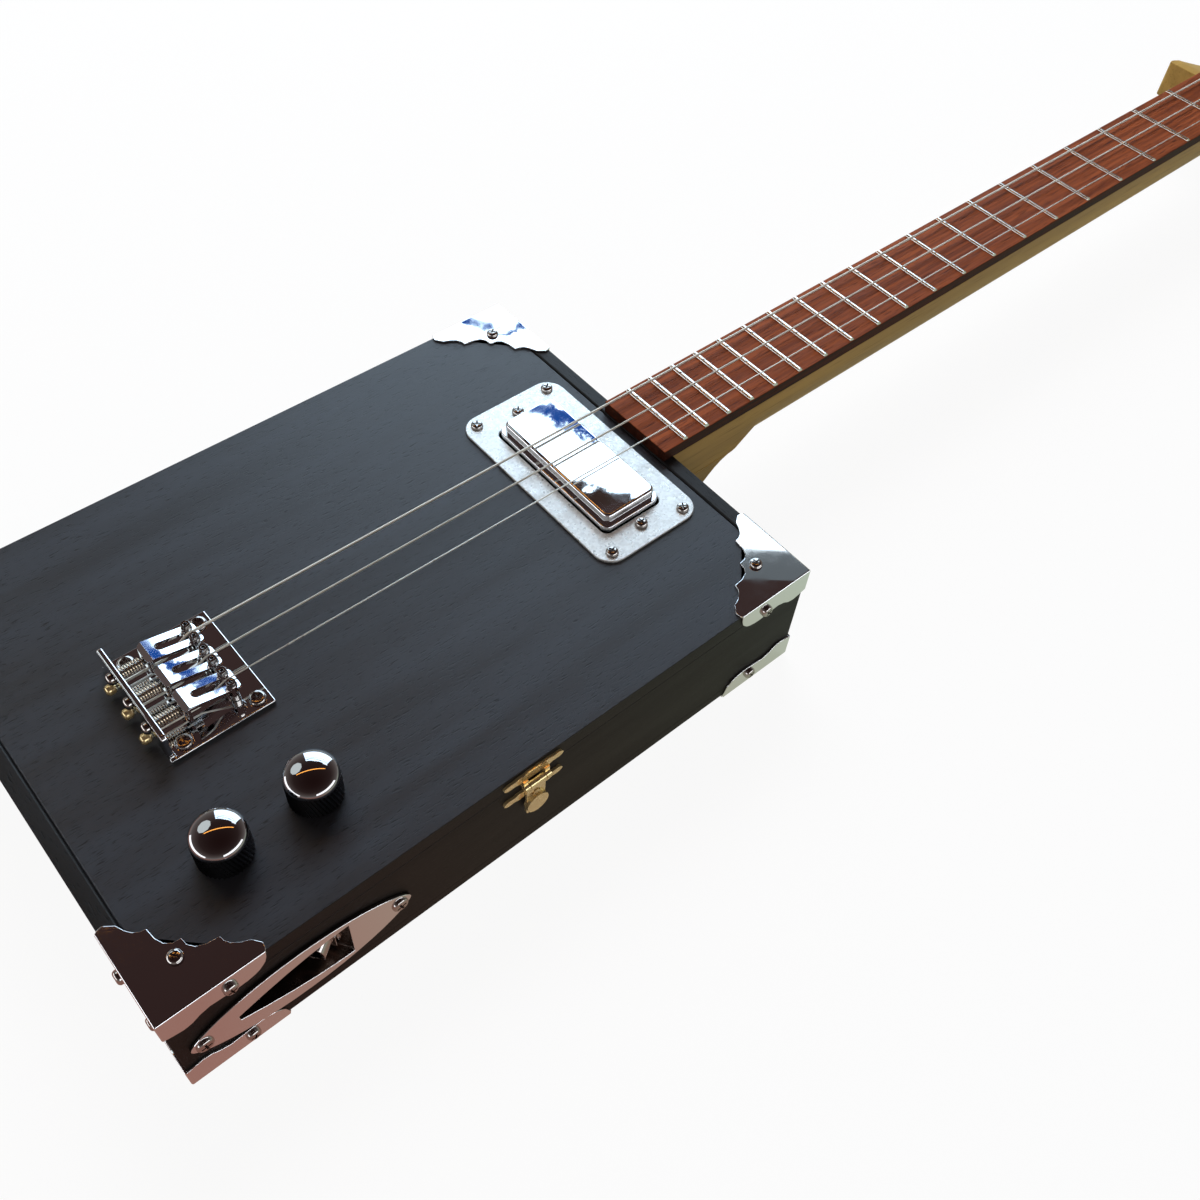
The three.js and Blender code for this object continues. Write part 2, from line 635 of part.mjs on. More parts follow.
function tunerCase({ x, y, way }) {
  const t = tuner;
  const floor = neckUnder - t.caseHeight;
  const [y0, y1] = way > 0 ? [y - t.caseInner, y + t.caseOuter] : [y - t.caseOuter, y + t.caseInner];
  const shell = extruded(roundedRectangle(x - t.caseHalf, x + t.caseHalf, y0, y1, t.caseRound), "z", floor,
    neckUnder, 3);
  const shaftZ = neckUnder - t.shaftDrop;
  const outer = y + way * t.caseOuter;
  const collar = rod(t.collarRadius, point(x, outer - way * cutOverrun, shaftZ), point(x,
    outer + way * t.collarLength, shaftZ), 12);
  const bush = rod(t.bushRadius, point(x, y, neckUnder - cutOverrun), point(x, y, headFace + t.washerHeight),
    14);
  const washer = rod(t.washerRadius, point(x, y, headFace), point(x, y, headFace + t.washerHeight), 16);
  const postBore = rod(t.postRadius + seatGap, point(x, y, neckUnder - t.postDepth - seatGap),
    point(x, y, headFace + t.washerHeight + cutOverrun), 14);
  const shaftBore = rod(t.shaftRadius + seatGap, point(x, outer - way * t.shaftDepth, shaftZ),
    point(x, outer + way * (t.collarLength + cutOverrun), shaftZ), 12);
  return cut(join(shell, collar, bush, washer), postBore, shaftBore);
}

function tunerPost({ x, y }) {
  const t = tuner;
  const foot = neckUnder - t.postDepth;
  const top = headFace + t.postRise;
  const height = top - foot;
  const seat = headFace + t.washerHeight - foot;
  const profile = [[0, 0], [t.postRadius, 0], [t.postRadius, seat + t.waistFrom], [t.waistRadius,
    seat + t.waistFrom + seatGap],
    [t.waistRadius, seat + t.waistTo], [t.postRadius, seat + t.waistTo + seatGap], [t.postRadius, height], [0,
      height]];
  return turned(profile, point(x, y, foot), up, 14);
}

function tunerButton({ x, y, way }) {
  const t = tuner;
  const shaftZ = neckUnder - t.shaftDrop;
  const outer = y + way * t.caseOuter;
  const wing = outer + way * (t.collarLength + t.buttonGap);
  const shaft = rod(t.shaftRadius, point(x, outer - way * (t.shaftDepth - seatGap), shaftZ), point(x,
    wing + way * t.buttonBevel, shaftZ), 12);
  const oval = new THREE.Shape();
  oval.absellipse(0, 0, t.buttonHalf, t.buttonLength / 2, 0, 2 * Math.PI, false);
  const bevel = t.buttonBevel;
  const core = 2 * (t.buttonHalfThick - bevel);
  const geometry = new THREE.ExtrudeGeometry(oval, {
    depth: core, bevelEnabled: true, bevelThickness: bevel, bevelSize: bevel, bevelOffset: -bevel,
      bevelSegments: 2, curveSegments: 8,
  });
  geometry.translate(x, wing + (way * t.buttonLength) / 2, shaftZ - core / 2);
  return join(shaft, solid(geometry));
}

// The string leaves the nut for the post in a straight line that just touches the wound turns.
function stringTangent(tunerRow) {
  const string = strings[tunerRow.string];
  const radius = tuner.postRadius + seatGap + string.radius;
  const start = new THREE.Vector2(headStart, string.side * stringSpacing);
  const toPost = new THREE.Vector2(tunerRow.x, tunerRow.y).sub(start);
  const distance = toPost.length();
  const angle = toPost.angle() - tunerRow.way * Math.asin(radius / distance);
  const run = Math.sqrt(distance ** 2 - radius ** 2);
  const touch = start.clone().add(new THREE.Vector2(Math.cos(angle), Math.sin(angle)).multiplyScalar(run));
  return { radius, start, touch, run, angle };
}

function windingTop(tunerRow) {
  return headFace + tuner.postRise - winding.topDrop - strings[tunerRow.string].radius;
}

function tunerWinding(tunerRow) {
  const string = strings[tunerRow.string];
  const { radius, touch } = stringTangent(tunerRow);
  const diameter = 2 * string.radius;
  const stations = helixStations({
    place: point(tunerRow.x, tunerRow.y, windingTop(tunerRow)),
    axis: down,
    start: point(touch.x - tunerRow.x, touch.y - tunerRow.y, 0),
    sense: -tunerRow.way,
    radius,
    pitch: diameter + winding.gap,
    turns: winding.turns,
    steps: winding.stepsPerTurn,
    straight: diameter,
  });
  printSelfGap(`${tunerRow.name} winding`, stations, diameter, winding.stepsPerTurn);
  return tubeThroughRings(wireRings(stations, string.radius, winding.sides));
}

function makeTuners() {
  for (const row of tuners) {
    place(`${row.name}_case`, tunerCase(row), colours.chrome);
    place(`${row.name}_post`, tunerPost(row), colours.chrome);
    place(`${row.name}_button`, tunerButton(row), colours.chrome);
    place(`${row.name}_winding`, tunerWinding(row), colours.nickel);
  }
}

// Bridge: a bent base plate with a rear flange, and for each string a saddle, a screw and a spring.

// The bridge sits a little to the far side of the neck's centre line, and its string places go with it.
function stringSide(index) {
  return bridge.side + strings[index].side * stringSpacing;
}

// What is taken off one end of the flange, so that it stands in from the plate's edge with a cut corner.
function flangeTrim(way) {
  const b = bridge;
  const edge = b.halfWidth - b.flangeInset;
  const outer = b.halfWidth + cutOverrun;
  const foot = lidTop + b.plate;
  const top = lidTop + b.flangeHeight;
  const corners = [[edge, foot], [outer, foot], [outer, top + cutOverrun],
    [edge - b.flangeChamfer, top + cutOverrun], [edge - b.flangeChamfer, top], [edge, top - b.flangeChamfer]];
  const shape = outline(corners.map(([y, z]) => [b.side + way * y, z]));
  return extruded(shape, "x", -b.rear - cutOverrun, -b.rear + b.flange + cutOverrun);
}

function bridgeBase() {
  const b = bridge;
  const top = lidTop + b.plate;
  const flangeTop = lidTop + b.flangeHeight;
  const shape = new THREE.Shape();
  shape.moveTo(b.front, lidTop);
  shape.lineTo(b.front, top);
  shape.lineTo(-b.rear + b.flange, top);
  shape.lineTo(-b.rear + b.flange, flangeTop);
  shape.lineTo(-b.rear, flangeTop);
  shape.lineTo(-b.rear, lidTop + b.bend);
  shape.quadraticCurveTo(-b.rear, lidTop, -b.rear + b.bend, lidTop);
  const plate = extruded(shape, "y", b.side - b.halfWidth, b.side + b.halfWidth, 4);
  const tail = -b.rear - cutOverrun;
  const inner = -b.rear + b.flange + cutOverrun;
  const holes = strings.flatMap((string, index) => {
    const y = stringSide(index);
    const screwZ = lidTop + b.screwHoleRise;
    const stringZ = lidTop + b.stringHoleRise;
    return [
      rod(intonation.radius + seatGap, point(tail, y, screwZ), point(inner, y, screwZ), 12),
      rod(b.stringHoleRadius, point(tail, y, stringZ), point(inner, y, stringZ), 10),
    ];
  });
  const heads = [b.frontScrewX, -b.rearScrewX].flatMap((x) => [-1, 1].map((way) => panHead(
    point(x, b.side + way * (b.halfWidth - b.screwInset), top), up, screw.plateRadius, screw.plateHeight)));
  return join(cut(plate, ...holes, flangeTrim(1), flangeTrim(-1)), ...heads);
}

function saddleBody(index) {
  const s = saddle;
  const y = stringSide(index);
  const z = lidTop;
  const profile = outline([
    [-s.rear, z + s.tabFoot], [-s.rear + s.tab, z + s.tabFoot], [-s.rear + s.tab, z + s.rearHeight - s.sheet],
    [s.front, z + s.crestHeight - s.sheet], [s.front, z + s.crestHeight - s.edgeDrop], [0, z + s.crestHeight],
    [-s.bossX, z + s.crestHeight], [-s.rear + s.tab, z + s.rearHeight + s.edgeDrop],
    [-s.rear, z + s.rearHeight - s.edgeDrop],
  ]);
  const half = s.width / 2;
  const above = z + s.rearHeight + s.edgeDrop + cutOverrun;
  const bent = extruded(profile, "y", y - half, y + half);
  const round = roundedRectangle(-s.rear, s.front, y - half, y + half, s.cornerRound);
  const plan = extruded(round, "z", z, above, 3);
  const slotHalf = s.slotWidth / 2;
  const slotRound = slotHalf - s.slotEndFlat;
  const opening = roundedRectangle(-s.slotRear, -s.slotFront, y - slotHalf, y + slotHalf, slotRound);
  const slot = extruded(opening, "z", z + s.tabFoot, above, 4);
  const screwZ = z + bridge.screwHoleRise;
  const screwHole = rod(intonation.radius + seatGap, point(-s.rear - cutOverrun, y, screwZ),
    point(-s.rear + s.tab + cutOverrun, y, screwZ), 10);
  const grubs = [-1, 1].map((way) => {
    const side = y + way * s.bossSide;
    const at = (rise) => point(-s.bossX, side, z + rise);
    const boss = rod(s.bossRadius, at(s.bossFoot), at(s.bossTop), 10);
    const grub = rod(s.grubRadius, at(bridge.plate + seatGap), at(s.grubTop), 8);
    const socket = rod(s.socketRadius, at(s.grubTop - s.socketDepth), at(s.grubTop + cutOverrun), 6);
    return cut(join(boss, grub), socket);
  });
  return join(cut(bent.intersect(plan), slot, screwHole), ...grubs);
}

function intonationScrew(index) {
  const y = stringSide(index);
  const z = lidTop + bridge.screwHoleRise;
  const seat = -bridge.rear - seatGap;
  const tip = -saddle.rear + intonation.reach;
  const shank = rod(intonation.radius, point(seat - cutOverrun, y, z), point(tip, y, z), 10);
  return join(panHead(point(seat, y, z), tailward, intonation.headRadius, intonation.headLength), shank);
}

function bridgeSpringBody(index) {
  const s = bridgeSpring;
  const y = stringSide(index);
  const from = -bridge.rear + bridge.flange + seatGap + s.wire;
  const to = -saddle.rear - seatGap - s.wire;
  const stations = helixStations({
    place: point(from, y, lidTop + bridge.screwHoleRise),
    axis: neckward,
    start: up,
    sense: 1,
    radius: s.radius,
    pitch: (to - from) / s.curls,
    turns: s.curls,
    steps: s.stepsPerCurl,
    straight: s.wire,
  });
  printSelfGap(`saddle_${index + 1} spring`, stations, s.wire, s.stepsPerCurl);
  return tubeThroughRings(wireRings(stations, s.wire / 2, s.sides));
}

function makeBridge() {
  place("bridge_base", bridgeBase(), colours.chrome);
  for (let index = 0; index < strings.length; index += 1) {
    place(`saddle_${index + 1}`, saddleBody(index), colours.chrome);
    place(`saddle_${index + 1}_screw`, intonationScrew(index), colours.chrome);
    place(`saddle_${index + 1}_spring`, bridgeSpringBody(index), colours.steel);
  }
}

// Strings: each runs from its ball behind the flange, under the saddle's tab, over the crest and the nut to
// its post.

function stringRoute(tunerRow) {
  const index = tunerRow.string;
  const { radius } = strings[index];
  const y = stringSide(index);
  const low = lidTop + bridge.stringHoleRise;
  const crest = crestTop + seatGap + radius;
  const nutZ = nutTop - nut.slotDepth + nut.slotClearance + radius;
  const { touch, start, run } = stringTangent(tunerRow);
  const envelope = tuner.postRadius + seatGap + 2 * radius + 2 * seatGap + radius;
  const short = Math.sqrt(envelope ** 2 - (tuner.postRadius + seatGap) ** 2) / run;
  const endZ = windingTop(tunerRow);
  const risen = -saddle.slotRear + saddle.sheet;
  return [
    point(-bridge.rear - 2 * seatGap - intonation.headLength - ball.halfLength, y, low),
    point(risen, y, low),
    point(-saddle.slotFront - 2 * seatGap, y, crest),
    point(0, y, crest),
    point(nutTail, strings[index].side * stringSpacing, nutZ),
    point(start.x, start.y, nutZ),
    point(touch.x + (start.x - touch.x) * short, touch.y + (start.y - touch.y) * short,
      endZ + (nutZ - endZ) * short),
  ];
}

// Rings stand square to the bisector of the two runs that meet at each point of the route.
function wireAlong(route, radius, sides) {
  const stations = route.map((centre, index) => {
    const before = route[Math.max(index - 1, 0)];
    const after = route[Math.min(index + 1, route.length - 1)];
    const incoming = centre.clone().sub(before).normalize();
    const outgoing = after.clone().sub(centre).normalize();
    const along = incoming.add(outgoing).normalize();
    const outward = up.clone().addScaledVector(along, -up.dot(along)).normalize();
    return { centre, outward, along };
  });
  return tubeThroughRings(wireRings(stations, radius, sides));
}

function stringBody(tunerRow) {
  const { radius } = strings[tunerRow.string];
  const route = stringRoute(tunerRow);
  const ballCentre = route[0];
  const shareOfRound = 0.6;
  const profile = [[0, -ball.halfLength], [ball.radius * shareOfRound, -ball.halfLength], [ball.radius,
    -ball.halfLength / 2],
    [ball.radius, ball.halfLength / 2], [ball.radius * shareOfRound, ball.halfLength], [0, ball.halfLength]];
  return join(wireAlong(route, radius, 8), turned(profile, ballCentre, neckward, 12));
}

function makeStrings() {
  for (const row of tuners) place(strings[row.string].name, stringBody(row), colours.nickel);
}

// Pickup

function pickupPlate() {
  const p = pickup;
  const halfLength = p.plateLength / 2;
  const halfWidth = p.plateWidth / 2;
  const openLength = p.coverLength / 2 + p.lip + 2 * seatGap;
  const openWidth = p.coverWidth / 2 + p.lip + 2 * seatGap;
  const sheet = extruded(roundedRectangle(pickupX - halfLength, pickupX + halfLength, -halfWidth, halfWidth,
    p.plateRound), "z",
    lidTop, lidTop + p.plateSheet, 4);
  const opening = extruded(roundedRectangle(pickupX - openLength, pickupX + openLength, -openWidth, openWidth,
    p.coverRound), "z",
    lidTop - cutOverrun, lidTop + p.plateSheet + cutOverrun, 3);
  const holes = [-1, 1].map((way) => rod(p.screwRadius + seatGap, point(pickupX, way * p.screwSide,
    lidTop - cutOverrun),
    point(pickupX, way * p.screwSide, lidTop + p.plateSheet + cutOverrun), 12));
  const heads = [-1, 1].flatMap((wayX) => [-1, 1].map((wayY) => panHead(
    point(pickupX + wayX * p.cornerScrewX, wayY * p.cornerScrewY, lidTop + p.plateSheet), up, screw.panRadius,
      screw.panHeight)));
  return join(cut(sheet, opening, ...holes), ...heads);
}

function pickupBody() {
  const p = pickup;
  const upper = (inset) => roundedRectangle(pickupX - p.coverLength / 2 + inset,
    pickupX + p.coverLength / 2 - inset,
    -p.coverWidth / 2 + inset, p.coverWidth / 2 - inset, p.coverRound - inset);
  const lower = roundedRectangle(pickupX - p.coverLength / 2 - p.lip, pickupX + p.coverLength / 2 + p.lip,
    -p.coverWidth / 2 - p.lip, p.coverWidth / 2 + p.lip, p.coverRound);
  const floor = lidTop - p.depth;
  const top = lidTop + p.topHeight;
  const caps = p.topSteps.map(([inset, drop]) => extruded(upper(inset), "z", floor + p.earThickness,
    top - drop, 3));
  const skirt = extruded(lower, "z", floor, lidTop + p.lipHeight, 3);
  const earReach = p.coverWidth / 2 + p.lip + p.earReach - seatGap;
  const ear = block(pickupX - p.earHalf, pickupX + p.earHalf, -earReach, earReach, floor,
    floor + p.earThickness);
  const holes = [-1, 1].map((way) => rod(p.screwRadius + seatGap, point(pickupX, way * p.screwSide,
    floor - cutOverrun),
    point(pickupX, way * p.screwSide, floor + p.earThickness + cutOverrun), 12));
  return cut(join(skirt, ...caps, ear), ...holes);
}

function pickupScrew(way) {
  const p = pickup;
  const seat = lidTop + p.plateSheet + seatGap;
  const y = way * p.screwSide;
  const shank = rod(p.screwRadius, point(pickupX, y, lidTop - p.depth - p.screwReach), point(pickupX, y,
    seat + cutOverrun), 10);
  return join(panHead(point(pickupX, y, seat), up, p.screwHeadRadius, p.screwHeadHeight), shank);
}

function makePickup() {
  place("pickup_plate", pickupPlate(), colours.satinSteel);
  place("pickup", pickupBody(), colours.chrome);
  place("pickup_screw_far", pickupScrew(1), colours.chrome);
  place("pickup_screw_near", pickupScrew(-1), colours.chrome);
}

// Controls

function knobBody({ x, y }) {
  const k = knob;
  const domeSteps = 4;
  const dome = Array.from({ length: domeSteps + 1 }, (_, step) => {
    const angle = (Math.PI / 2) * (1 - step / domeSteps);
    return [k.radius * Math.cos(angle), k.neckTop + (k.domeTop - k.neckTop) * Math.sin(angle)];
  });
  dome[0][0] = 0;
  const shaftFoot = lidUnder - lidTop - pot.height / 2;
  const profile = [...dome, [k.neckRadius, k.neckTop], [k.neckRadius, k.sideTop], [k.radius, k.sideTop],
    [k.radius, k.lift],
    [k.hubRadius, k.lift], [k.hubRadius, shaftFoot], [0, shaftFoot]];
  return turned(profile, point(x, y, lidTop), up, 26);
}

function potBody({ x, y }) {
  const p = pot;
  const floor = lidUnder - p.height;
  const can = rod(p.radius, point(x, y, floor), point(x, y, lidUnder), 24);
  const bush = rod(p.bushRadius, point(x, y, lidUnder - cutOverrun), point(x, y, lidTop + p.bushRise), 18);
  const bore = rod(knob.hubRadius + seatGap, point(x, y, lidUnder - p.height / 2 - seatGap), point(x, y,
    lidTop + p.bushRise + cutOverrun), 16);
  const lugs = [-1, 0, 1].map((way) => block(x + way * p.lugStep - p.lugWidth / 2,
    x + way * p.lugStep + p.lugWidth / 2,
    y, y + p.radius + p.lugLength, floor, floor + p.lugThickness));
  return cut(join(can, bush, ...lugs), bore);
}

function makeControls() {
  for (const row of knobs) {
    place(`knob_${row.name}`, knobBody(row), colours.darkChrome);
    place(`pot_${row.name}`, potBody(row), colours.steel);
  }
}

// Output jack: a lens shaped plate with a wedge shaped cup, and a socket that leans out of the cup's steep
// wall.

function recessPlan(extra) {
  const j = jackPlate;
  const tip = j.x - j.recessTip - extra;
  const end = j.x + j.recessEnd + extra;
  const half = j.recessHeight / 2 + extra;
  const tipHalf = j.tipHeight / 2 + extra;
  const shape = new THREE.Shape();
  shape.moveTo(tip, j.z - tipHalf);
  shape.quadraticCurveTo(j.x, j.z - half, end, j.z - half);
  shape.lineTo(end, j.z + half);
  shape.quadraticCurveTo(j.x, j.z + half, tip, j.z + tipHalf);
  return shape;
}

// The cup's section from above, as [x, y], open at the front; extra thickens it into the outside of the cup.
function recessSection(extra, mouth) {
  const j = jackPlate;
  return outline([
    [j.x - j.recessTip - extra, mouth], [j.x - j.recessTip - extra, boxFront + extra],
    [j.x + j.recessFloor - extra / 2, boxFront + j.recessDepth + extra], [j.x + j.recessFloor + extra,
      boxFront + j.recessDepth + extra],
    [j.x + j.recessEnd + extra, boxFront + extra], [j.x + j.recessEnd + extra, mouth],
  ]);
}

function cupBody(extra, mouth) {
  const j = jackPlate;
  const section = extruded(recessSection(extra, mouth), "z", j.z - j.height, j.z + j.height);
  const reach = j.recessDepth + 2 * extra + 2 * cutOverrun;
  const plan = extruded(recessPlan(extra), "y", boxFront - reach, boxFront + reach, 5);
  return section.intersect(plan);
}

function jackPocket() {
  const { foot } = jackAxis();
  const clear = jackPlate.cup + seatGap;
  const { way } = jackAxis();
  const bodyHole = rod(jack.bodyRadius + seatGap, foot, foot.clone().addScaledVector(way,
    -jack.bodyLength - cutOverrun), 20);
  return join(cupBody(clear, boxFront - cutOverrun), bodyHole);
}

function jackAxis() {
  const j = jackPlate;
  const inner = point(j.x + j.recessFloor, boxFront + j.recessDepth, j.z);
  const outer = point(j.x + j.recessEnd, boxFront, j.z);
  const along = outer.clone().sub(inner).normalize();
  const way = point(along.y, -along.x, 0);
  if (way.x > 0) way.negate();
  const foot = inner.clone().add(outer).multiplyScalar(0.5);
  const wall = -j.cup * (way.x + way.y);
  return { foot, way, wall };
}

function jackPlateBody() {
  const j = jackPlate;
  const shape = new THREE.Shape();
  for (let step = 0; step < j.points; step += 1) {
    const angle = (2 * Math.PI * step) / j.points;
    const rise = Math.sin(angle);
    const x = j.x + (j.length / 2) * Math.cos(angle);
    const z = j.z + (j.height / 2) * Math.sign(rise) * Math.abs(rise) ** j.blunt;
    if (step === 0) shape.moveTo(x, z);
    else shape.lineTo(x, z);
  }
  const sheet = extruded(shape, "y", boxFront - j.sheet, boxFront);
  const cup = cupBody(j.cup, boxFront - j.sheet / 2);
  const hollow = cupBody(0, boxFront - j.sheet - cutOverrun);
  const { foot, way } = jackAxis();
  const hole = rod(jack.wallRadius, foot.clone().addScaledVector(way, -2 * j.cup - cutOverrun),
    foot.clone().addScaledVector(way, j.cup), 20);
  const heads = [-1, 1].map((side) => panHead(point(j.x + side * j.screwReach, boxFront - j.sheet, j.z),
    frontward,
    j.screwRadius, j.sheet / 2));
  return join(cut(join(sheet, cup), hollow, hole), ...heads);
}

function jackBody() {
  const { foot, way, wall } = jackAxis();
  const at = (distance) => foot.clone().addScaledVector(way, distance);
  const back = -wall - seatGap;
  const barrel = rod(jack.barrel, at(back - cutOverrun), at(jack.barrelLength), 20);
  const nutBody = rod(jack.nutAcross, at(seatGap + jack.washer),
    at(seatGap + jack.washer + jack.nutThickness), 6);
  const washer = rod(jack.nutAcross, at(seatGap), at(seatGap + jack.washer + cutOverrun / 2), 18);
  const sleeve = rod(jack.bodyRadius, at(back), at(back - jack.bodyLength), 18);
  const bore = rod(jack.bore, at(back - jack.bodyLength - cutOverrun), at(jack.barrelLength + cutOverrun),
    16);
  return cut(join(barrel, nutBody, washer, sleeve), bore);
}

function makeJack() {
  place("jack_plate", jackPlateBody(), colours.chrome);
  place("output_jack", jackBody(), colours.chrome);
}

// Clasp: an upper and a lower winged plate, and a hasp that hangs from the upper one's pin.

function wingShape(centreZ) {
  const c = clasp;
  const shape = new THREE.Shape();
  for (let step = 0; step < c.points; step += 1) {
    const angle = (2 * Math.PI * step) / c.points;
    const across = Math.cos(angle);
    const height = c.wingTip + (c.wingHeight - c.wingTip) * (1 - Math.abs(across)) + c.wingCurl * Math.sin(3 * Math.PI * across) ** 2;
    const x = c.x + c.halfWidth * across;
    const z = centreZ + Math.sign(Math.sin(angle)) * height * Math.min(1, 3 * Math.abs(Math.sin(angle)));
    if (step === 0) shape.moveTo(x, z);
    else shape.lineTo(x, z);
  }
  return shape;
}

function claspUpper() {
  const c = clasp;
  const axisY = boxFront - c.standOff - c.sheet;
  const axisZ = lidTop - c.barrelDrop;
  const plate = extruded(wingShape(lidTop - c.upperDrop), "y", boxFront - c.sheet, boxFront);
  const knuckles = [-1, 1].map((way) => {
    const inner = c.x + way * (c.barrelHalf - c.knuckle);
    const outer = c.x + way * c.barrelHalf;
    const strap = block(Math.min(inner, outer), Math.max(inner, outer), axisY, boxFront, axisZ,
      lidTop - c.upperDrop);
    return join(strap, rod(c.knuckleRadius, point(inner, axisY, axisZ), point(outer, axisY, axisZ), 12));
  });
  const pin = rod(c.pinRadius, point(c.x - c.barrelHalf, axisY, axisZ), point(c.x + c.barrelHalf, axisY,
    axisZ), 8);
  return join(plate, ...knuckles, pin);
}

function claspLower() {
  const c = clasp;
  const plate = extruded(wingShape(lidTop - c.lowerDrop), "y", boxFront - c.sheet, boxFront);
  const nub = rod(c.nubRadius, point(c.x, boxFront, lidTop - c.nubDrop), point(c.x,
    boxFront - c.standOff - c.sheet - seatGap, lidTop - c.nubDrop), 12);
  return join(plate, nub);
}

function claspHasp() {
  const c = clasp;
  const axisY = boxFront - c.standOff - c.sheet;
  const axisZ = lidTop - c.barrelDrop;
  const half = c.barrelHalf - c.knuckle - seatGap;
  const barrel = rod(c.knuckleRadius, point(c.x - half, axisY, axisZ), point(c.x + half, axisY, axisZ), 14);
  const bore = rod(c.pinRadius + seatGap, point(c.x - half - cutOverrun, axisY, axisZ),
    point(c.x + half + cutOverrun, axisY, axisZ), 10);
  const back = boxFront - c.sheet - seatGap;
  const frontFace = back - c.sheet;
  const strap = extruded(roundedRectangle(c.x - c.hangHalf, c.x + c.hangHalf, lidTop - c.hangFoot,
    axisZ - c.knuckleRadius - seatGap, c.sheet), "y", frontFace, back, 3);
  const barrelStrap = block(c.x - half, c.x + half, frontFace, back, axisZ - 2 * c.knuckleRadius, axisZ);
  const nubHole = rod(c.nubRadius + seatGap, point(c.x, back + cutOverrun, lidTop - c.nubDrop), point(c.x,
    frontFace - cutOverrun, lidTop - c.nubDrop), 14);
  const oval = new THREE.Shape();
  oval.absellipse(c.x, lidTop - c.ovalDrop - c.sheet, c.ovalHalfWidth, c.ovalHalfHeight - c.sheet, 0,
    2 * Math.PI, false);
  const boss = extruded(oval, "y", frontFace - c.ovalRise, back, 8);
  return cut(join(barrel, barrelStrap, strap, boss), bore, nubHole);
}

function makeClasp() {
  place("clasp_upper_plate", claspUpper(), colours.brass);
  place("clasp_lower_plate", claspLower(), colours.brass);
  place("clasp_hasp", claspHasp(), colours.brass);
}

makeBox();
makeProtectors();
makeNeck();
makeFretboard();
makeNut();
makeTuners();
makeBridge();
makeStrings();
makePickup();
makeControls();
makeJack();
makeClasp();

export default guitar;
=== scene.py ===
# %% [markdown]
# A three-string guitar with a wooden box for a body.
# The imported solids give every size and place. This notebook dresses them: each piece of the real instrument
# gets rounded edges, real screw heads, knurling, threads and coils, and a finish made of shader nodes.

# %% Load the frame
import math
import random
import json

import bpy
from mathutils import Matrix, Vector

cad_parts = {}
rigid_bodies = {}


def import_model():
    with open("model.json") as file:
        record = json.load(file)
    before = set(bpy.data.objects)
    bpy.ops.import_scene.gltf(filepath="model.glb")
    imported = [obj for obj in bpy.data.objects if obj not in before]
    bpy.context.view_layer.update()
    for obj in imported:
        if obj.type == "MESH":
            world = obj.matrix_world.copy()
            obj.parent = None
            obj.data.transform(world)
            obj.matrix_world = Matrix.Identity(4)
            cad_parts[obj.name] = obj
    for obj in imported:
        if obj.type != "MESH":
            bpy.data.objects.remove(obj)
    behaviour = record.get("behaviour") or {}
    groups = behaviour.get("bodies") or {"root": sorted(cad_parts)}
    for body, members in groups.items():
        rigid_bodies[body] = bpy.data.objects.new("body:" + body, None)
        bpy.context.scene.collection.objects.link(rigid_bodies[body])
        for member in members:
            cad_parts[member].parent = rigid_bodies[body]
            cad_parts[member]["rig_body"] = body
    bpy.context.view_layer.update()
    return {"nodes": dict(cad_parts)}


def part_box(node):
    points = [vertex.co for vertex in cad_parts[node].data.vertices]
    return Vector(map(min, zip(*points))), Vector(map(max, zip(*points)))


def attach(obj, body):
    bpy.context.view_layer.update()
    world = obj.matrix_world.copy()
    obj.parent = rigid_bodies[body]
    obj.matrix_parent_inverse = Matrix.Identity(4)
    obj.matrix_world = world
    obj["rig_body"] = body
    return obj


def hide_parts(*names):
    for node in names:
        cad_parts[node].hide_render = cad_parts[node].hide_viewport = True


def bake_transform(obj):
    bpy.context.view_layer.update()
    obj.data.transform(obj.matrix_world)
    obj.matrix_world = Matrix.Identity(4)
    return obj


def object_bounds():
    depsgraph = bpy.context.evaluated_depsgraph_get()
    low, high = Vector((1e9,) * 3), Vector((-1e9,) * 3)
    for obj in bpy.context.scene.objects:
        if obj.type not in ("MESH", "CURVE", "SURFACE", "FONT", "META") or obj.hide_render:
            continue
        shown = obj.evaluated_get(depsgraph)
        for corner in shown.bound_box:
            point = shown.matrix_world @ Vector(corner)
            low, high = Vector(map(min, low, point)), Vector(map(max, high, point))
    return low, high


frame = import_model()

mm = 0.001

# %% [markdown]
# The camera comes first, because every later choice is judged through it.
# It stands over the tail end at the player's side and looks down along the neck with a fairly wide lens.
# Its place and its two directions are real measures in the guitar's own frame. They were worked out from the
# edges, frets and plates that the photograph shows, which is surer than moving a camera by eye.

# %% Camera
camera_place = Vector((-68.5, -247.0, 405.3)) * mm
camera_forward = Vector((0.4302, 0.4304, -0.7935)).normalized()
camera_right = Vector((0.7588, -0.6486, 0.0596)).normalized()
sensor_width = 36
lens_length = 36.63
nearest_seen = 0.005
farthest_seen = 20

camera_up = camera_right.cross(camera_forward)
camera_turn = Matrix((camera_right, camera_up, -camera_forward)).transposed().to_euler()
bpy.ops.object.select_all(action="DESELECT")
bpy.ops.object.camera_add(location=camera_place, rotation=camera_turn)
camera = bpy.context.object
camera.name = "photo_camera"
camera.data.sensor_fit = "HORIZONTAL"
camera.data.sensor_width = sensor_width
camera.data.lens = lens_length
camera.data.clip_start = nearest_seen
camera.data.clip_end = farthest_seen
bpy.context.scene.camera = camera
bpy.context.scene.view_settings.view_transform = "Standard"
print("camera:", [round(value, 3) for value in camera_place], "lens:", lens_length)

# %% [markdown]
# Most steps below select something, change it and go on, as one does by hand. These helpers keep that
# short. Edit mode works on what is selected, so one helper selects points, edges or faces by their place
# and direction. Another adds a primitive while nothing else is selected.

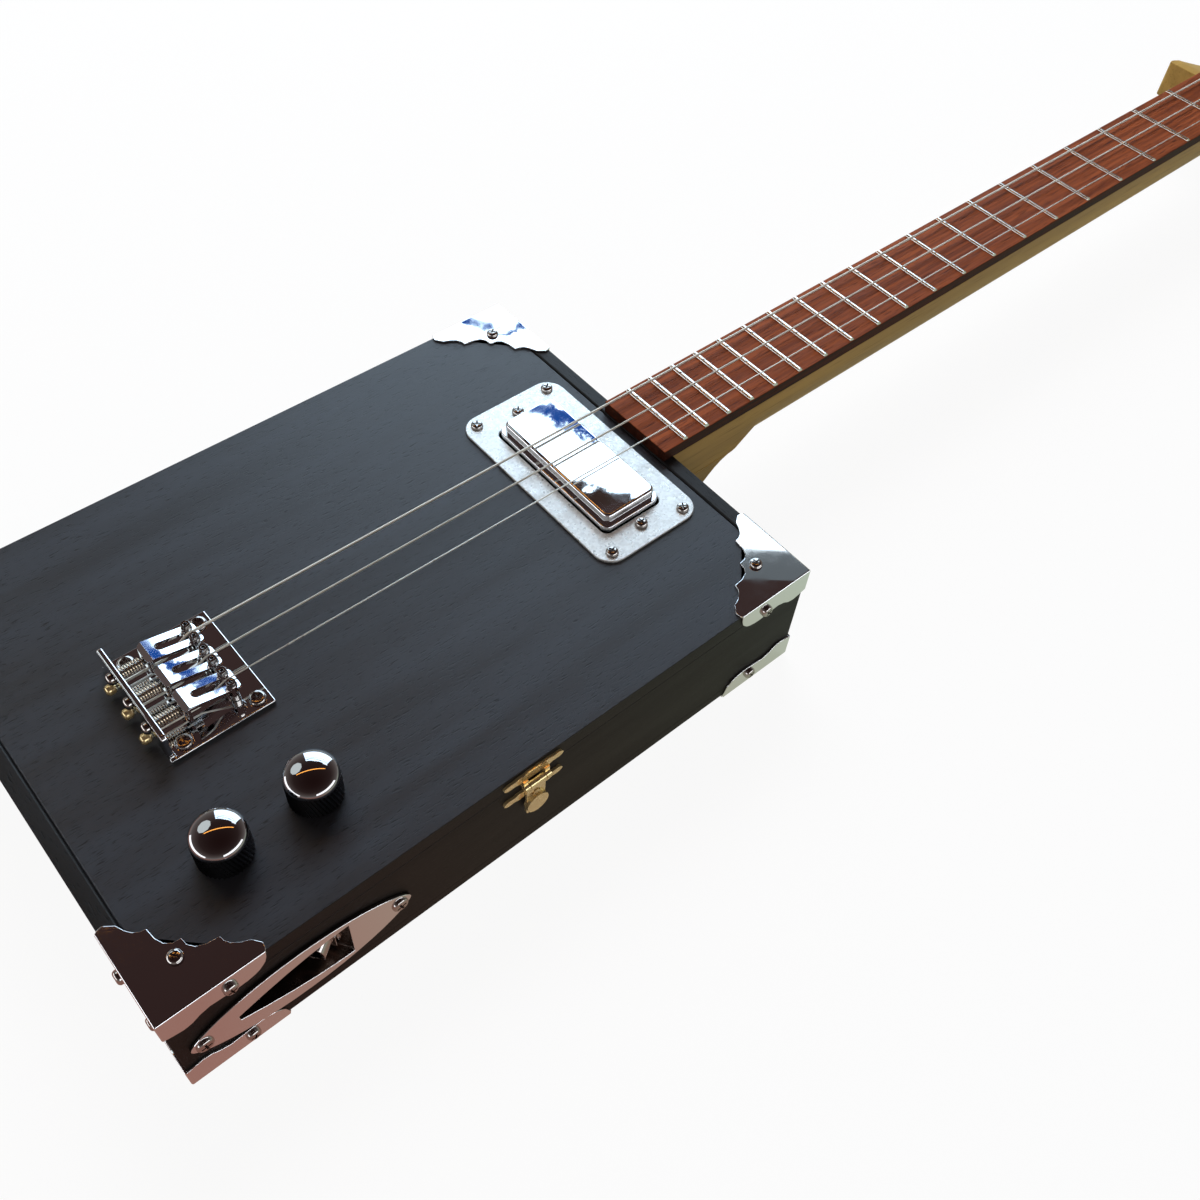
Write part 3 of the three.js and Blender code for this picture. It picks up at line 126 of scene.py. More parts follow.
# %% Helpers for selecting
def alone(piece):
    """Selects this object and nothing else."""
    bpy.ops.object.select_all(action="DESELECT")
    piece.select_set(True)
    bpy.context.view_layer.objects.active = piece
    return piece


def leave():
    bpy.ops.object.mode_set(mode="OBJECT")


def pick(piece, kind, wanted):
    """Opens edit mode with the points, edges or faces selected whose place (and direction) is wanted."""
    alone(piece)
    bpy.ops.object.mode_set(mode="EDIT")
    bpy.ops.mesh.select_mode(type=kind)
    bpy.ops.mesh.select_all(action="DESELECT")
    leave()
    mesh = piece.data
    if kind == "VERT":
        for vertex in mesh.vertices:
            vertex.select = wanted(vertex.co)
    elif kind == "EDGE":
        for edge in mesh.edges:
            first, second = (mesh.vertices[i].co for i in edge.vertices)
            edge.select = wanted((first + second) / 2, second - first)
    else:
        for face in mesh.polygons:
            face.select = wanted(face.center, face.normal)
    bpy.ops.object.mode_set(mode="EDIT")


def pick_all_faces(piece):
    pick(piece, "FACE", lambda middle, normal: True)


def bevel_edges(piece, wanted, width, segments):
    """Bevels the edges whose place and direction are wanted."""
    pick(piece, "EDGE", wanted)
    bpy.ops.mesh.bevel(offset=width, segments=segments, affect="EDGES")
    leave()


def turn_faces_out():
    """Still in edit mode, makes every face point outwards, and leaves."""
    bpy.ops.mesh.select_all(action="SELECT")
    bpy.ops.mesh.normals_make_consistent(inside=False)
    leave()


def settle(piece):
    """Puts the object's place, turn and scale into its mesh."""
    alone(piece)
    bpy.ops.object.transform_apply(location=True, rotation=True, scale=True)
    return piece


def added(primitive, **settings):
    """Adds a primitive with nothing else selected, and returns it with its place in its mesh."""
    bpy.ops.object.select_all(action="DESELECT")
    primitive(**settings)
    return settle(bpy.context.object)


# %% [markdown]
# The next helpers are the workshop: they apply a modifier, cut one shape out of another, round edges, and
# copy. A solid's mesh is loose triangles, so a copy is merged into whole faces before a bevel can follow
# its edges.

# %% Helpers for shaping
merge_gap = 0.002 * mm
flat_angle = math.radians(0.5)
normal_weight = 60
nearly_all = 0.9


def apply_modifier(piece, kind, **settings):
    alone(piece)
    bpy.ops.object.modifier_add(type=kind)
    modifier = piece.modifiers[-1]
    for key, value in settings.items():
        setattr(modifier, key, value)
    bpy.ops.object.modifier_apply(modifier=modifier.name)
    return piece


def cut(piece, cutter):
    """Takes a cutter's shape out of a piece and puts the cutter away."""
    apply_modifier(piece, "BOOLEAN", object=cutter, operation="DIFFERENCE", solver="EXACT")
    bpy.data.objects.remove(cutter)


def smooth(piece, angle):
    """Shades a piece smoothly, except over edges sharper than the angle."""
    alone(piece)
    bpy.ops.object.shade_smooth_by_angle(angle=math.radians(angle))
    return piece


def level_faces(piece):
    """Lets the large faces of a smooth piece keep looking flat."""
    return apply_modifier(piece, "WEIGHTED_NORMAL", keep_sharp=True, weight=normal_weight)


def soften(piece, width, segments=2, angle=32, clamp=True):
    """Rounds every edge sharper than the angle and keeps the flat faces looking flat."""
    apply_modifier(piece, "BEVEL", width=width, segments=segments, limit_method="ANGLE",
                   angle_limit=math.radians(angle), use_clamp_overlap=clamp)
    return level_faces(smooth(piece, angle))


def press(piece, width, segments=2):
    """Rounds a piece of sheet, whose outline has points so close together that they would clamp the bevel."""
    return soften(piece, width, segments, angle=40, clamp=False)


def plain_block(middle, sizes):
    block = added(bpy.ops.mesh.primitive_cube_add, size=1)
    block.scale = sizes
    block.location = middle
    return settle(block)


def facing(place, direction):
    """The move that takes a model from the origin to a place, with its top along a direction."""
    return Matrix.Translation(place) @ Vector(direction).to_track_quat("Z", "Y").to_matrix().to_4x4()


def moved(piece, move):
    piece.matrix_world = move
    return settle(piece)


def placed_copy(model, move):
    """A copy of a model with a mesh of its own, moved from the origin."""
    copy = bpy.data.objects.new("model_copy", model.data.copy())
    bpy.context.scene.collection.objects.link(copy)
    return moved(copy, move)


def copied(node):
    """A separate copy of a plain solid, with its loose triangles merged into whole faces."""
    piece = bpy.data.objects.new(node + "_copy", frame["nodes"][node].data.copy())
    bpy.context.scene.collection.objects.link(piece)
    pick_all_faces(piece)
    bpy.ops.mesh.remove_doubles(threshold=merge_gap)
    bpy.ops.mesh.dissolve_limited(angle_limit=flat_angle)
    leave()
    return piece


def joined(first, *others):
    alone(first)
    for other in others:
        other.select_set(True)
    if others:
        bpy.ops.object.join()
    return first


# %% [markdown]
# A finished piece gets its name and its finish, and rides on the body that carries it. Where it stands for
# a plain solid, that solid is hidden. Some faces get a second finish, such as the sides of a board.

# %% Helpers for finishing
upward_limit = 0.5


def centre_of(node):
    low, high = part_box(node)
    return (low + high) / 2


def body_of(node):
    return frame["nodes"][node]["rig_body"]


def carry(piece, name, node, finish, stands_in=True):
    """Names a finished piece, paints it, and lets it ride with a node, mostly in that node's place."""
    settle(piece)
    piece.name = name
    piece.data.name = name
    piece.data.materials.clear()
    piece.data.materials.append(finish)
    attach(piece, body_of(node))
    if stands_in:
        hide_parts(node)
    return piece


def paint_faces(piece, finish, wanted):
    """Gives a second finish to the faces whose place and direction are wanted."""
    piece.data.materials.append(finish)
    for face in piece.data.polygons:
        if wanted(face.center, face.normal):
            face.material_index = 1


def beside_top(place, normal):
    return normal.z < upward_limit


# %% [markdown]
# An open-pored wood has two scales of marks: broad darker streaks and short fine pores, both drawn out
# along the grain. One node group makes both as masks. Each wood gives it its own lengths, so it is built
# only once.

# %% Shader group: grain
def new_group(name, inputs, outputs):
    group = bpy.data.node_groups.new(name, "ShaderNodeTree")
    for label, kind, value in inputs:
        socket = group.interface.new_socket(name=label, in_out="INPUT", socket_type=kind)
        if value is not None:
            socket.default_value = value
    for label in outputs:
        group.interface.new_socket(name=label, in_out="OUTPUT", socket_type="NodeSocketFloat")
    print("shader group:", name)
    return group, group.nodes.new("NodeGroupInput"), group.nodes.new("NodeGroupOutput")


def new_node(tree, kind, inputs=None, **settings):
    """Adds a shader node. Each input, by name or number, gets a value or another node's output."""
    node = tree.nodes.new(kind)
    for key, value in settings.items():
        setattr(node, key, value)
    for label, value in (inputs or {}).items():
        if isinstance(value, bpy.types.NodeSocket):
            tree.links.new(value, node.inputs[label])
        else:
            node.inputs[label].default_value = value
    return node


def noise(tree, vector, scale, detail, roughness=0.55):
    inputs = {"Vector": vector, "Scale": scale, "Detail": detail, "Roughness": roughness}
    return new_node(tree, "ShaderNodeTexNoise", inputs).outputs["Fac"]


def map_range(tree, source, low, high, to_low=0.0, to_high=1.0):
    inputs = {"Value": source, "From Min": low, "From Max": high, "To Min": to_low, "To Max": to_high}
    return new_node(tree, "ShaderNodeMapRange", inputs).outputs["Result"]


grain_inputs = [("Vector", "NodeSocketVector", None), ("Streaks", "NodeSocketVector", (6, 90, 90)),
                ("Pores", "NodeSocketVector", (90, 1400, 1400))]
grain_group, grain_in, grain_out = new_group("Grain", grain_inputs, ["Streak", "Pore"])
grain_marks = (("Streak", "Streaks", 5.0, 0.35, 0.65), ("Pore", "Pores", 3.0, 0.56, 0.70))
for output, lengths, detail, low, high in grain_marks:
    stretch = new_node(grain_group, "ShaderNodeVectorMath",
                       {0: grain_in.outputs["Vector"], 1: grain_in.outputs[lengths]}, operation="MULTIPLY")
    drawn_out = noise(grain_group, stretch.outputs["Vector"], 1.0, detail)
    grain_group.links.new(map_range(grain_group, drawn_out, low, high), grain_out.inputs[output])

# %% [markdown]
# Polished metal is never evenly clean. A second group turns soft noise into a roughness between two limits,
# like the faint film that fingers leave, and every plain metal here uses it.

# %% Shader group: handling film
film_inputs = [("Vector", "NodeSocketVector", None), ("Scale", "NodeSocketFloat", 60.0),
               ("Clean", "NodeSocketFloat", 0.06), ("Dull", "NodeSocketFloat", 0.14)]
film_group, film_in, film_out = new_group("Handling film", film_inputs, ["Roughness"])
film_noise = noise(film_group, film_in.outputs["Vector"], film_in.outputs["Scale"], 6.0, 0.6)
film_mask = map_range(film_group, film_noise, 0.42, 0.68)
film_polish = map_range(film_group, film_mask, 0, 1, film_in.outputs["Clean"], film_in.outputs["Dull"])
film_group.links.new(film_polish, film_out.inputs["Roughness"])


# %% [markdown]
# Every finish starts from the same shader. These helpers make a material, place a group in it, mix two
# colours by a mask, and let a mask raise or sink the surface.

# %% Material helpers
def new_material(name, base, metallic=0.0, roughness=0.5, **sockets):
    """A material with its shader, and the place on the object that its patterns read."""
    material = bpy.data.materials.new(name)
    material.use_nodes = True
    shader = material.node_tree.nodes["Principled BSDF"]
    shader.inputs["Base Color"].default_value = (*base, 1)
    shader.inputs["Metallic"].default_value = metallic
    shader.inputs["Roughness"].default_value = roughness
    for label, value in sockets.items():
        shader.inputs[label.replace("_", " ")].default_value = value
    place = material.node_tree.nodes.new("ShaderNodeTexCoord")
    return material, shader, place.outputs["Object"]


def group_node(tree, group, vector, **values):
    return new_node(tree, "ShaderNodeGroup", {"Vector": vector, **values}, node_tree=group)


def colour_mix(tree, factor, first, second):
    """Mixes two colours, each a value or another node's output, by a factor."""
    node = new_node(tree, "ShaderNodeMix", {"Factor": factor}, data_type="RGBA")
    for socket, colour in zip([s for s in node.inputs if s.type == "RGBA"], (first, second)):
        if isinstance(colour, tuple):
            socket.default_value = (*colour, 1)
        else:
            tree.links.new(colour, socket)
    return [s for s in node.outputs if s.type == "RGBA"][0]


def bump(tree, shader, height, distance):
    node = new_node(tree, "ShaderNodeBump", {"Height": height, "Distance": distance, "Strength": 1.0})
    tree.links.new(node.outputs["Normal"], shader.inputs["Normal"])


# %% [markdown]
# The box is stained black over an open-pored wood, so its pores stay visible as tiny dark dashes and the
# satin finish picks up a cool sheen. The walls and the lid's sides get a darker, duller copy of the lid's
# finish, which is painted shade. The neck is pale and even, the fretboard reddish and strongly streaked.
# The fretboard's sides get a much darker copy of its wood: painted shade. All of them come from one
# function, so each wood is only a few colours and lengths.

# %% Materials: woods
def wood(name, dark, light, pore, roughness, streaks, pores, pore_depth, **sockets):
    """A wood that is streaked between two colours, with darker pores that are sunk a little."""
    material, shader, place = new_material(name, light, roughness=roughness[0], **sockets)
    tree = material.node_tree
    grain = group_node(tree, grain_group, place, Streaks=streaks, Pores=pores)
    streaked = colour_mix(tree, grain.outputs["Streak"], dark, light)
    tree.links.new(colour_mix(tree, grain.outputs["Pore"], streaked, pore), shader.inputs["Base Color"])
    tree.links.new(map_range(tree, grain.outputs["Streak"], 0, 1, *roughness), shader.inputs["Roughness"])
    bump(tree, shader, map_range(tree, grain.outputs["Pore"], 0, 1, 1, 0), pore_depth)
    print("wood:", name)
    return material


box_grain = {"streaks": (9, 75, 75), "pores": (260, 1900, 1900), "pore_depth": 0.04 * mm}
end_grain = {"streaks": (75, 9, 75), "pores": (1900, 260, 1900), "pore_depth": 0.04 * mm}
neck_grain = {"streaks": (4, 70, 70), "pores": (40, 900, 900), "pore_depth": 0.01 * mm}
board_grain = {"streaks": (12, 560, 560), "pores": (90, 1700, 1700), "pore_depth": 0.03 * mm}

black_wood = wood("black_stained_wood", (0.015, 0.015, 0.018), (0.024, 0.027, 0.035),
                  (0.0030, 0.0030, 0.0035), (0.40, 0.48), **box_grain)
# Painted shade: a darker, duller copy of the lid's wood, for the walls and the lid's sides.
painted_shade_wall_wood = wood("black_stained_wood_painted_shade", (0.0070, 0.0055, 0.0045), (0.0120, 0.0100, 0.0085),
                 (0.0020, 0.0018, 0.0016), (0.46, 0.54), **box_grain, Specular_IOR_Level=0.15)
end_wood = wood("black_stained_end_wood", (0.0090, 0.0080, 0.0080), (0.0150, 0.0142, 0.0145),
                (0.0020, 0.0020, 0.0022), (0.44, 0.52), **end_grain, Specular_IOR_Level=0.25)
maple = wood("pale_neck_wood", (0.39, 0.235, 0.060), (0.53, 0.325, 0.085),
             (0.34, 0.20, 0.048), (0.36, 0.44), **neck_grain, Specular_IOR_Level=0.15)
rosewood = wood("streaked_fretboard_wood", (0.150, 0.032, 0.009), (0.300, 0.073, 0.022),
                (0.056, 0.012, 0.005), (0.46, 0.56), **board_grain, Specular_IOR_Level=0.08)
# Painted shade: a much darker copy of the fretboard's wood, for its sides.
rosewood_painted_shade = wood("streaked_fretboard_painted_shade", (0.030, 0.008, 0.004), (0.080, 0.020, 0.009),
                     (0.015, 0.004, 0.002), (0.50, 0.60), **board_grain, Specular_IOR_Level=0.08)


# %% [markdown]
# The metals share one recipe: a mirror with a faint film. They differ in colour and in how dull the film
# is. Where a metal lies deep in a cup or is finely knurled it looks darker, so those get a darker colour of
# their own: painted shade of the cup and of the knurl's grooves.

# %% Materials: metals
def metal(name, base, clean, dull, scale=60.0, metallic=1.0):
    material, shader, place = new_material(name, base, metallic=metallic, roughness=clean)
    film = group_node(material.node_tree, film_group, place, Scale=scale, Clean=clean, Dull=dull)
    material.node_tree.links.new(film.outputs["Roughness"], shader.inputs["Roughness"])
    print("metal:", name)
    return material


chrome = metal("chrome_plating", (0.80, 0.81, 0.83), 0.015, 0.05)
black_chrome = metal("black_chrome", (0.40, 0.39, 0.40), 0.02, 0.05)
# The knurled band is black chrome made much darker than the dome: painted shade of its fine grooves.
knurl_painted_shade = metal("black_chrome_knurled", (0.035, 0.034, 0.036), 0.24, 0.34)
screw_steel = metal("screw_plating", (0.46, 0.43, 0.41), 0.08, 0.16, 200.0)
fret_nickel = metal("fret_nickel", (0.72, 0.70, 0.66), 0.14, 0.22)
plain_steel = metal("plain_steel", (0.50, 0.50, 0.51), 0.24, 0.36)
spring_wire = metal("spring_wire", (0.68, 0.57, 0.44), 0.10, 0.18)
# A dark, dull metal for the jack's cup: painted shade of the recess.
cup_painted_shade = metal("shaded_cup", (0.17, 0.14, 0.125), 0.20, 0.30)
brass = metal("worn_brass", (0.90, 0.72, 0.38), 0.12, 0.32, 260.0, 0.7)

# %% [markdown]
# Galvanised steel shows zinc crystals. They are cells of a Voronoi pattern: each cell has its own grey and
# its own roughness, which come from the random colour that the pattern gives it.

# %% Material: galvanised steel
crystals_per_metre = 1100
galvanised, zinc_shader, zinc_place = new_material("galvanised_steel", (0.60, 0.62, 0.62), 0.55, 0.42)
zinc_tree = galvanised.node_tree
crystals = new_node(zinc_tree, "ShaderNodeTexVoronoi", {"Vector": zinc_place, "Scale": crystals_per_metre})
crystal = new_node(zinc_tree, "ShaderNodeSeparateColor", {"Color": crystals.outputs["Color"]})
zinc_grey = colour_mix(zinc_tree, crystal.outputs["Red"], (0.58, 0.59, 0.58), (0.76, 0.78, 0.77))
zinc_tree.links.new(zinc_grey, zinc_shader.inputs["Base Color"])
zinc_polish = map_range(zinc_tree, crystal.outputs["Green"], 0, 1, 0.26, 0.44)
zinc_tree.links.new(zinc_polish, zinc_shader.inputs["Roughness"])
print("crystals per metre:", crystals_per_metre)

# %% [markdown]
# A wound string is a plain steel core wrapped in fine wire. The wrap is far too fine to model over its
# whole length, so bands along the string raise and lower its surface instead. The thinnest string has no
# wrap.

# %% Materials: strings and nut
wraps_per_metre = 500
wrap_depth = 0.08 * mm
wound_string, string_shader, string_place = new_material("wound_string", (0.74, 0.69, 0.60), 0.7, 0.32)
string_tree = wound_string.node_tree
bands = new_node(string_tree, "ShaderNodeTexWave", {"Vector": string_place, "Scale": wraps_per_metre},
                 bands_direction="X")
bump(string_tree, string_shader, bands.outputs["Fac"], wrap_depth)
plain_string = metal("plain_string", (0.78, 0.74, 0.66), 0.26, 0.34, 60.0, 0.7)
bone = new_material("bone_nut", (0.74, 0.70, 0.58), roughness=0.36)[0]
print("wrap depth:", round(wrap_depth / mm, 2), "mm")

# %% [markdown]
# Each board of the box is a plain sawn piece, so a copy of its solid with slightly broken edges is right.
# The grain runs along the length on the lid, back and long walls, and across on the tail and neck ends.
# The walls and the lid's sides are painted in shade: they get a darker, duller copy of the lid's finish, and
# only the lid's top keeps its own.

# %% Box
board_edge = 0.25 * mm
board_finishes = {
    "back_panel": painted_shade_wall_wood, "wall_front": painted_shade_wall_wood, "wall_far": painted_shade_wall_wood, "lid_panel": black_wood,
    "wall_tail": end_wood, "wall_neck": end_wood, "lid_batten_tail": end_wood, "lid_batten_neck": end_wood,
}
for node, finish in board_finishes.items():
    board = carry(soften(copied(node), board_edge), node + "_board", node, finish)
    if node == "lid_panel":
        # The lid's sides get the darker copy of its wood: painted shade.
        paint_faces(board, painted_shade_wall_wood, beside_top)
print("boards:", len(board_finishes))


# %% [markdown]
# The small screws are all pan heads with a cross recess. Half a ball would be too pointed, so a head is a
# cylinder whose rim is bevelled into a dome, and two bars cut the cross. There are dozens of screws: three
# heads are modelled and the rest are copies, most of them turned by chance as real ones are.

# %% Screw head
def make_screw_head(radius, height):
    """A pan head that stands on the origin."""
    dome = height * 0.72
    cross_arm = radius * 0.62
    cross_slot = radius * 0.13
    cross_depth = height * 0.6
    head = added(bpy.ops.mesh.primitive_cylinder_add, vertices=28, radius=radius, depth=height,
                 location=(0, 0, height / 2))
    rim_height = height * nearly_all
    bevel_edges(head, lambda middle, way: middle.z > rim_height, dome, 5)
    for half_x, half_y in ((cross_arm, cross_slot), (cross_slot, cross_arm)):
        cut(head, plain_block((0, 0, height), (2 * half_x, 2 * half_y, 2 * cross_depth)))
    return smooth(head, angle=35)


small_head = make_screw_head(2.5 * mm, 1.7 * mm)
large_head = make_screw_head(3 * mm, 1.4 * mm)
long_screw_head = make_screw_head(2.3 * mm, 2.1 * mm)
small_reach = 2.7 * mm
large_reach = 3.2 * mm
turns = random.Random(7)


def screw_copy(model, place, direction):
    """A copy of a screw head at a place, with its face along a direction."""
    roll = Matrix.Rotation(turns.uniform(0, math.pi / 2), 4, "Z")
    return placed_copy(model, facing(place, direction) @ roll)


def screw_set(model, heads):
    """All the screw heads that hold one part, as one piece."""
    return joined(*(screw_copy(model, place, way) for place, way in heads))


print("faces of a screw head:", len(small_head.data.polygons))


# %% [markdown]
# The plain solids have plain round heads fused to them. They come off before the real heads go on: the
# points that stand over each screw's place are deleted, and the holes they leave are filled.

# %% Plain heads
def without_heads(node, heads, reach):
    """A copy of a solid without the plain heads that stand within reach of the screws' places."""
    piece = copied(node)
    least_rise = 0.05 * mm

    def on_head(point):
        for place, direction in heads:
            away = point - place
            rise = away.dot(direction)
            if rise > least_rise and (away - direction * rise).length < reach:
                return True
        return False

    pick(piece, "VERT", on_head)
    bpy.ops.mesh.delete(type="VERT")
    bpy.ops.mesh.select_mode(type="EDGE")
    bpy.ops.mesh.select_non_manifold()
    bpy.ops.mesh.edge_face_add()
    bpy.ops.mesh.select_all(action="SELECT")
    bpy.ops.mesh.normals_make_consistent(inside=False)
    bpy.ops.mesh.dissolve_limited(angle_limit=flat_angle)
    leave()
    print("points of", node, "without its heads:", len(piece.data.vertices))
    return piece


# %% [markdown]
# The corner protectors are pressed from thin chromed sheet. The press rounds their outer folds, and three
# screws hold each one. Modelled anew, their scallops would have to be drawn a second time, so they are
# copies, and only the folds are rounded further. A fold is picked where two outer planes meet.

# %% Corner protector
sheet = 0.9 * mm
face_screw = 14 * mm
flange_screw = 22 * mm
flange_drop = 5.4 * mm
fold_round = 0.7 * mm
sheet_edge = 0.25 * mm
fold_gap = 0.02 * mm


def dress_protector(node, corner, inward_x, inward_y, upward):
    """Gives one corner of the box its pressed sheet and its three screws."""
    on_face = corner + Vector((inward_x * face_screw, inward_y * face_screw, upward * sheet))
    on_side = corner + Vector((inward_x * flange_screw, -inward_y * sheet, -upward * flange_drop))
    on_end = corner + Vector((-inward_x * sheet, inward_y * flange_screw, -upward * flange_drop))
    heads = [(on_face, Vector((0, 0, upward))), (on_side, Vector((0, -inward_y, 0))),
             (on_end, Vector((-inward_x, 0, 0)))]
    outer = corner + Vector((-inward_x * sheet, -inward_y * sheet, upward * sheet))
    blank = without_heads(node, heads, small_reach)
    bevel_edges(blank, lambda middle, way: sum(abs(middle[k] - outer[k]) < fold_gap for k in range(3)) > 1,
                fold_round, 4)
    carry(press(blank, sheet_edge), node + "_sheet", node, chrome)
    carry(screw_set(small_head, heads), node + "_screws", node, screw_steel, False)


# %% [markdown]
# A box has eight corners, so one loop over top and bottom, tail and neck, front and far dresses them all.

# %% All eight corners
box_low = Vector(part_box("back_panel")[0])
box_high = Vector((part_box("back_panel")[1].x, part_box("back_panel")[1].y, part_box("lid_panel")[1].z))
protectors = 0
for level, corner_z, upward in (("top", box_high.z, 1), ("bottom", box_low.z, -1)):
    for end, corner_x, inward_x in (("tail", box_low.x, 1), ("neck", box_high.x, -1)):
        for side, corner_y, inward_y in (("front", box_low.y, 1), ("far", box_high.y, -1)):
            corner = Vector((corner_x, corner_y, corner_z))
            dress_protector(f"protector_{level}_{end}_{side}", corner, inward_x, inward_y, upward)
            protectors += 1
print("corner protectors:", protectors)

# %% [markdown]
# Neck, heel and headstock are carved wood. Their solids have the right shape, so they are copies with a
# softer edge than the boards. The fretboard's solid has its frets fused to it, so it is built again as a
# plain strip, and the frets can be pieces of nickel.

# %% Neck and fretboard
carved_edge = 0.5 * mm
nut_edge = 0.2 * mm
strip_edge = 0.35 * mm
fret_rise = 1.1 * mm
for node in ("neck", "heel_block", "headstock_ear_far", "headstock_ear_near"):
    carry(soften(copied(node), carved_edge, angle=38), node + "_wood", node, maple)
carry(soften(copied("nut"), nut_edge), "nut_bone", "nut", bone)

board_low, board_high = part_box("fretboard")
board_top = board_high.z - fret_rise
strip = plain_block(((board_low.x + board_high.x) / 2, 0, (board_low.z + board_top) / 2),
                    (board_high.x - board_low.x, board_high.y - board_low.y, board_top - board_low.z))
carry(soften(strip, strip_edge, segments=3), "fretboard_wood", "fretboard", rosewood)
# The fretboard's sides get the darker copy of its wood: painted shade.
paint_faces(strip, rosewood_painted_shade, beside_top)
print("fretboard:", [round(size / mm, 1) for size in strip.dimensions], "mm")

# %% [markdown]
# A fret is a bar of nickel with a rounded crown and slanting ends. One is modelled and copied. An Array
# modifier would space the copies evenly, but each fret stands a twelfth of an octave below the next one, so a
# loop works out its distance from the saddles: the scale over a power of two.

# %% Frets
scale_length = 635 * mm
fret_total = 20
fret_width = 2.4 * mm
fret_inset = 0.4 * mm
fret_sunk = 0.2 * mm
fret_crown = 0.95 * mm
end_slant = 1.2 * mm
fret_length = board_high.y - board_low.y - 2 * fret_inset
crown_level = board_top + fret_rise / 2
fret_model = plain_block((0, 0, board_top + (fret_rise - fret_sunk) / 2),
                         (fret_width, fret_length, fret_rise + fret_sunk))
bevel_edges(fret_model, lambda middle, way: middle.z > crown_level and abs(way.y) > abs(way.x),
            fret_crown, 5)
pick(fret_model, "VERT", lambda point: point.z > crown_level)
bpy.ops.transform.resize(value=(1, 1 - end_slant / fret_length, 1), center_override=(0, 0, board_top))
leave()

fret_places = [scale_length / 2 ** (number / 12) for number in range(1, fret_total + 1)]
frets = joined(*(placed_copy(fret_model, Matrix.Translation((x, 0, 0))) for x in fret_places))
carry(smooth(frets, angle=40), "frets", "fretboard", fret_nickel, False)
bpy.data.objects.remove(fret_model)
print("frets:", fret_total)


# %% [markdown]
# A coil spring is a round wire wound about an axis. A curve would need every point of its helix. The Screw
# modifier works that out alone: a disc as thick as the wire stands at the coil's radius, turns as often as
# the spring has curls and climbs by its length.

# %% Coils
wire_sides = 10
curl_steps = 24
wire_gap = 0.001 * mm


def coil(place, direction, radius, wire, turn_count, length):
    ring = added(bpy.ops.mesh.primitive_circle_add, vertices=wire_sides, radius=wire / 2, fill_type="NGON",
                 rotation=(math.pi / 2, 0, 0))
    moved(ring, Matrix.Translation((radius, 0, 0)))
    steps = curl_steps * turn_count
    apply_modifier(ring, "SCREW", angle=2 * math.pi * turn_count, screw_offset=length, steps=steps,
                   render_steps=steps, use_merge_vertices=False, use_normal_calculate=True)
    pick_all_faces(ring)
    bpy.ops.mesh.remove_doubles(threshold=wire_gap)
    turn_faces_out()
    moved(ring, facing(place, direction))
    bpy.ops.object.shade_smooth()
    print("coil:", turn_count, "curls of", round(wire / mm, 2), "mm wire")
    return ring


# %% [markdown]
# A screw thread is a fine ridge that runs round the rod. Stacked rings look the same from a step away and
# stay light: a disc is extruded again and again, wider and narrower in turn.

# %% Threads
def threaded_rod(start, end, radius, pitch, depth, sides=20):
    way = Vector(end) - Vector(start)
    ridges = max(2, round(way.length / pitch))
    step = way.length / (2 * ridges)
    narrow = (radius - depth) / radius
    rod = added(bpy.ops.mesh.primitive_circle_add, vertices=sides, radius=radius - depth, fill_type="NGON")
    pick_all_faces(rod)
    for ring in range(2 * ridges):
        bpy.ops.mesh.extrude_region_move(TRANSFORM_OT_translate={"value": (0, 0, step)})
        change = 1 / narrow if ring % 2 == 0 else narrow
        bpy.ops.transform.resize(value=(change, change, 1), center_override=(0, 0, 0))
    turn_faces_out()
    moved(rod, facing(start, way))
    print("thread:", ridges, "ridges")
    return smooth(rod, angle=25)


# %% [markdown]
# The bridge is bent from thick plate and chromed. Its solid already has the flange and the holes in it, so
# a copy with rounded edges is enough. Four large screws hold it to the lid.

# %% Bridge plate
lid_top = board_low.z
plate_top = lid_top + 2 * mm
plate_edge = 0.45 * mm
plate_screws_x = (4.2 * mm, -23 * mm)
plate_screws_y = 19.6 * mm
base_low, base_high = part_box("bridge_base")
base_middle = centre_of("bridge_base").y
base_heads = [(Vector((x, base_middle + way * plate_screws_y, plate_top)), Vector((0, 0, 1)))
              for x in plate_screws_x for way in (-1, 1)]
bridge_plate = press(without_heads("bridge_base", base_heads, large_reach), plate_edge, segments=3)
carry(bridge_plate, "bridge_plate", "bridge_base", chrome)
carry(screw_set(large_head, base_heads), "bridge_plate_screws", "bridge_base", screw_steel, False)
print("bridge top:", round(base_high.z / mm, 1), "mm")

# %% [markdown]
# Each saddle stands on two grub screws: short threaded rods with a hexagon socket in the top. One is made
# from a threaded rod and a six-sided cutter, and the others are copies of it.

# %% Grub screw
grub_radius = 1.62 * mm
grub_thread = 0.08 * mm
grub_spread = 2.9 * mm
grub_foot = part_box("saddle_1")[0].z
grub_top = lid_top + 11.9 * mm
socket_radius = 0.85 * mm
socket_depth = 1.2 * mm
fine_pitch = 0.5 * mm
rod_top = grub_top + 0.03 * mm
grub_model = threaded_rod((0, 0, grub_foot), (0, 0, rod_top), grub_radius, fine_pitch, grub_thread)
cut(grub_model, added(bpy.ops.mesh.primitive_cylinder_add, vertices=6, radius=socket_radius,
                      depth=2 * socket_depth, location=(0, 0, grub_top)))
soften(grub_model, grub_thread, angle=50)
print("grub screw:", round((grub_top - grub_foot) / mm, 1), "mm long")


# %% [markdown]
# A saddle is a slotted wedge of plated steel, so a copy with rounded edges is right. Its crest stands over
# the zero of the frame, and the grub screws stand just behind that, left and right of the string.

# %% Saddle
saddle_edge = 0.3 * mm
grub_x = -1.2 * mm


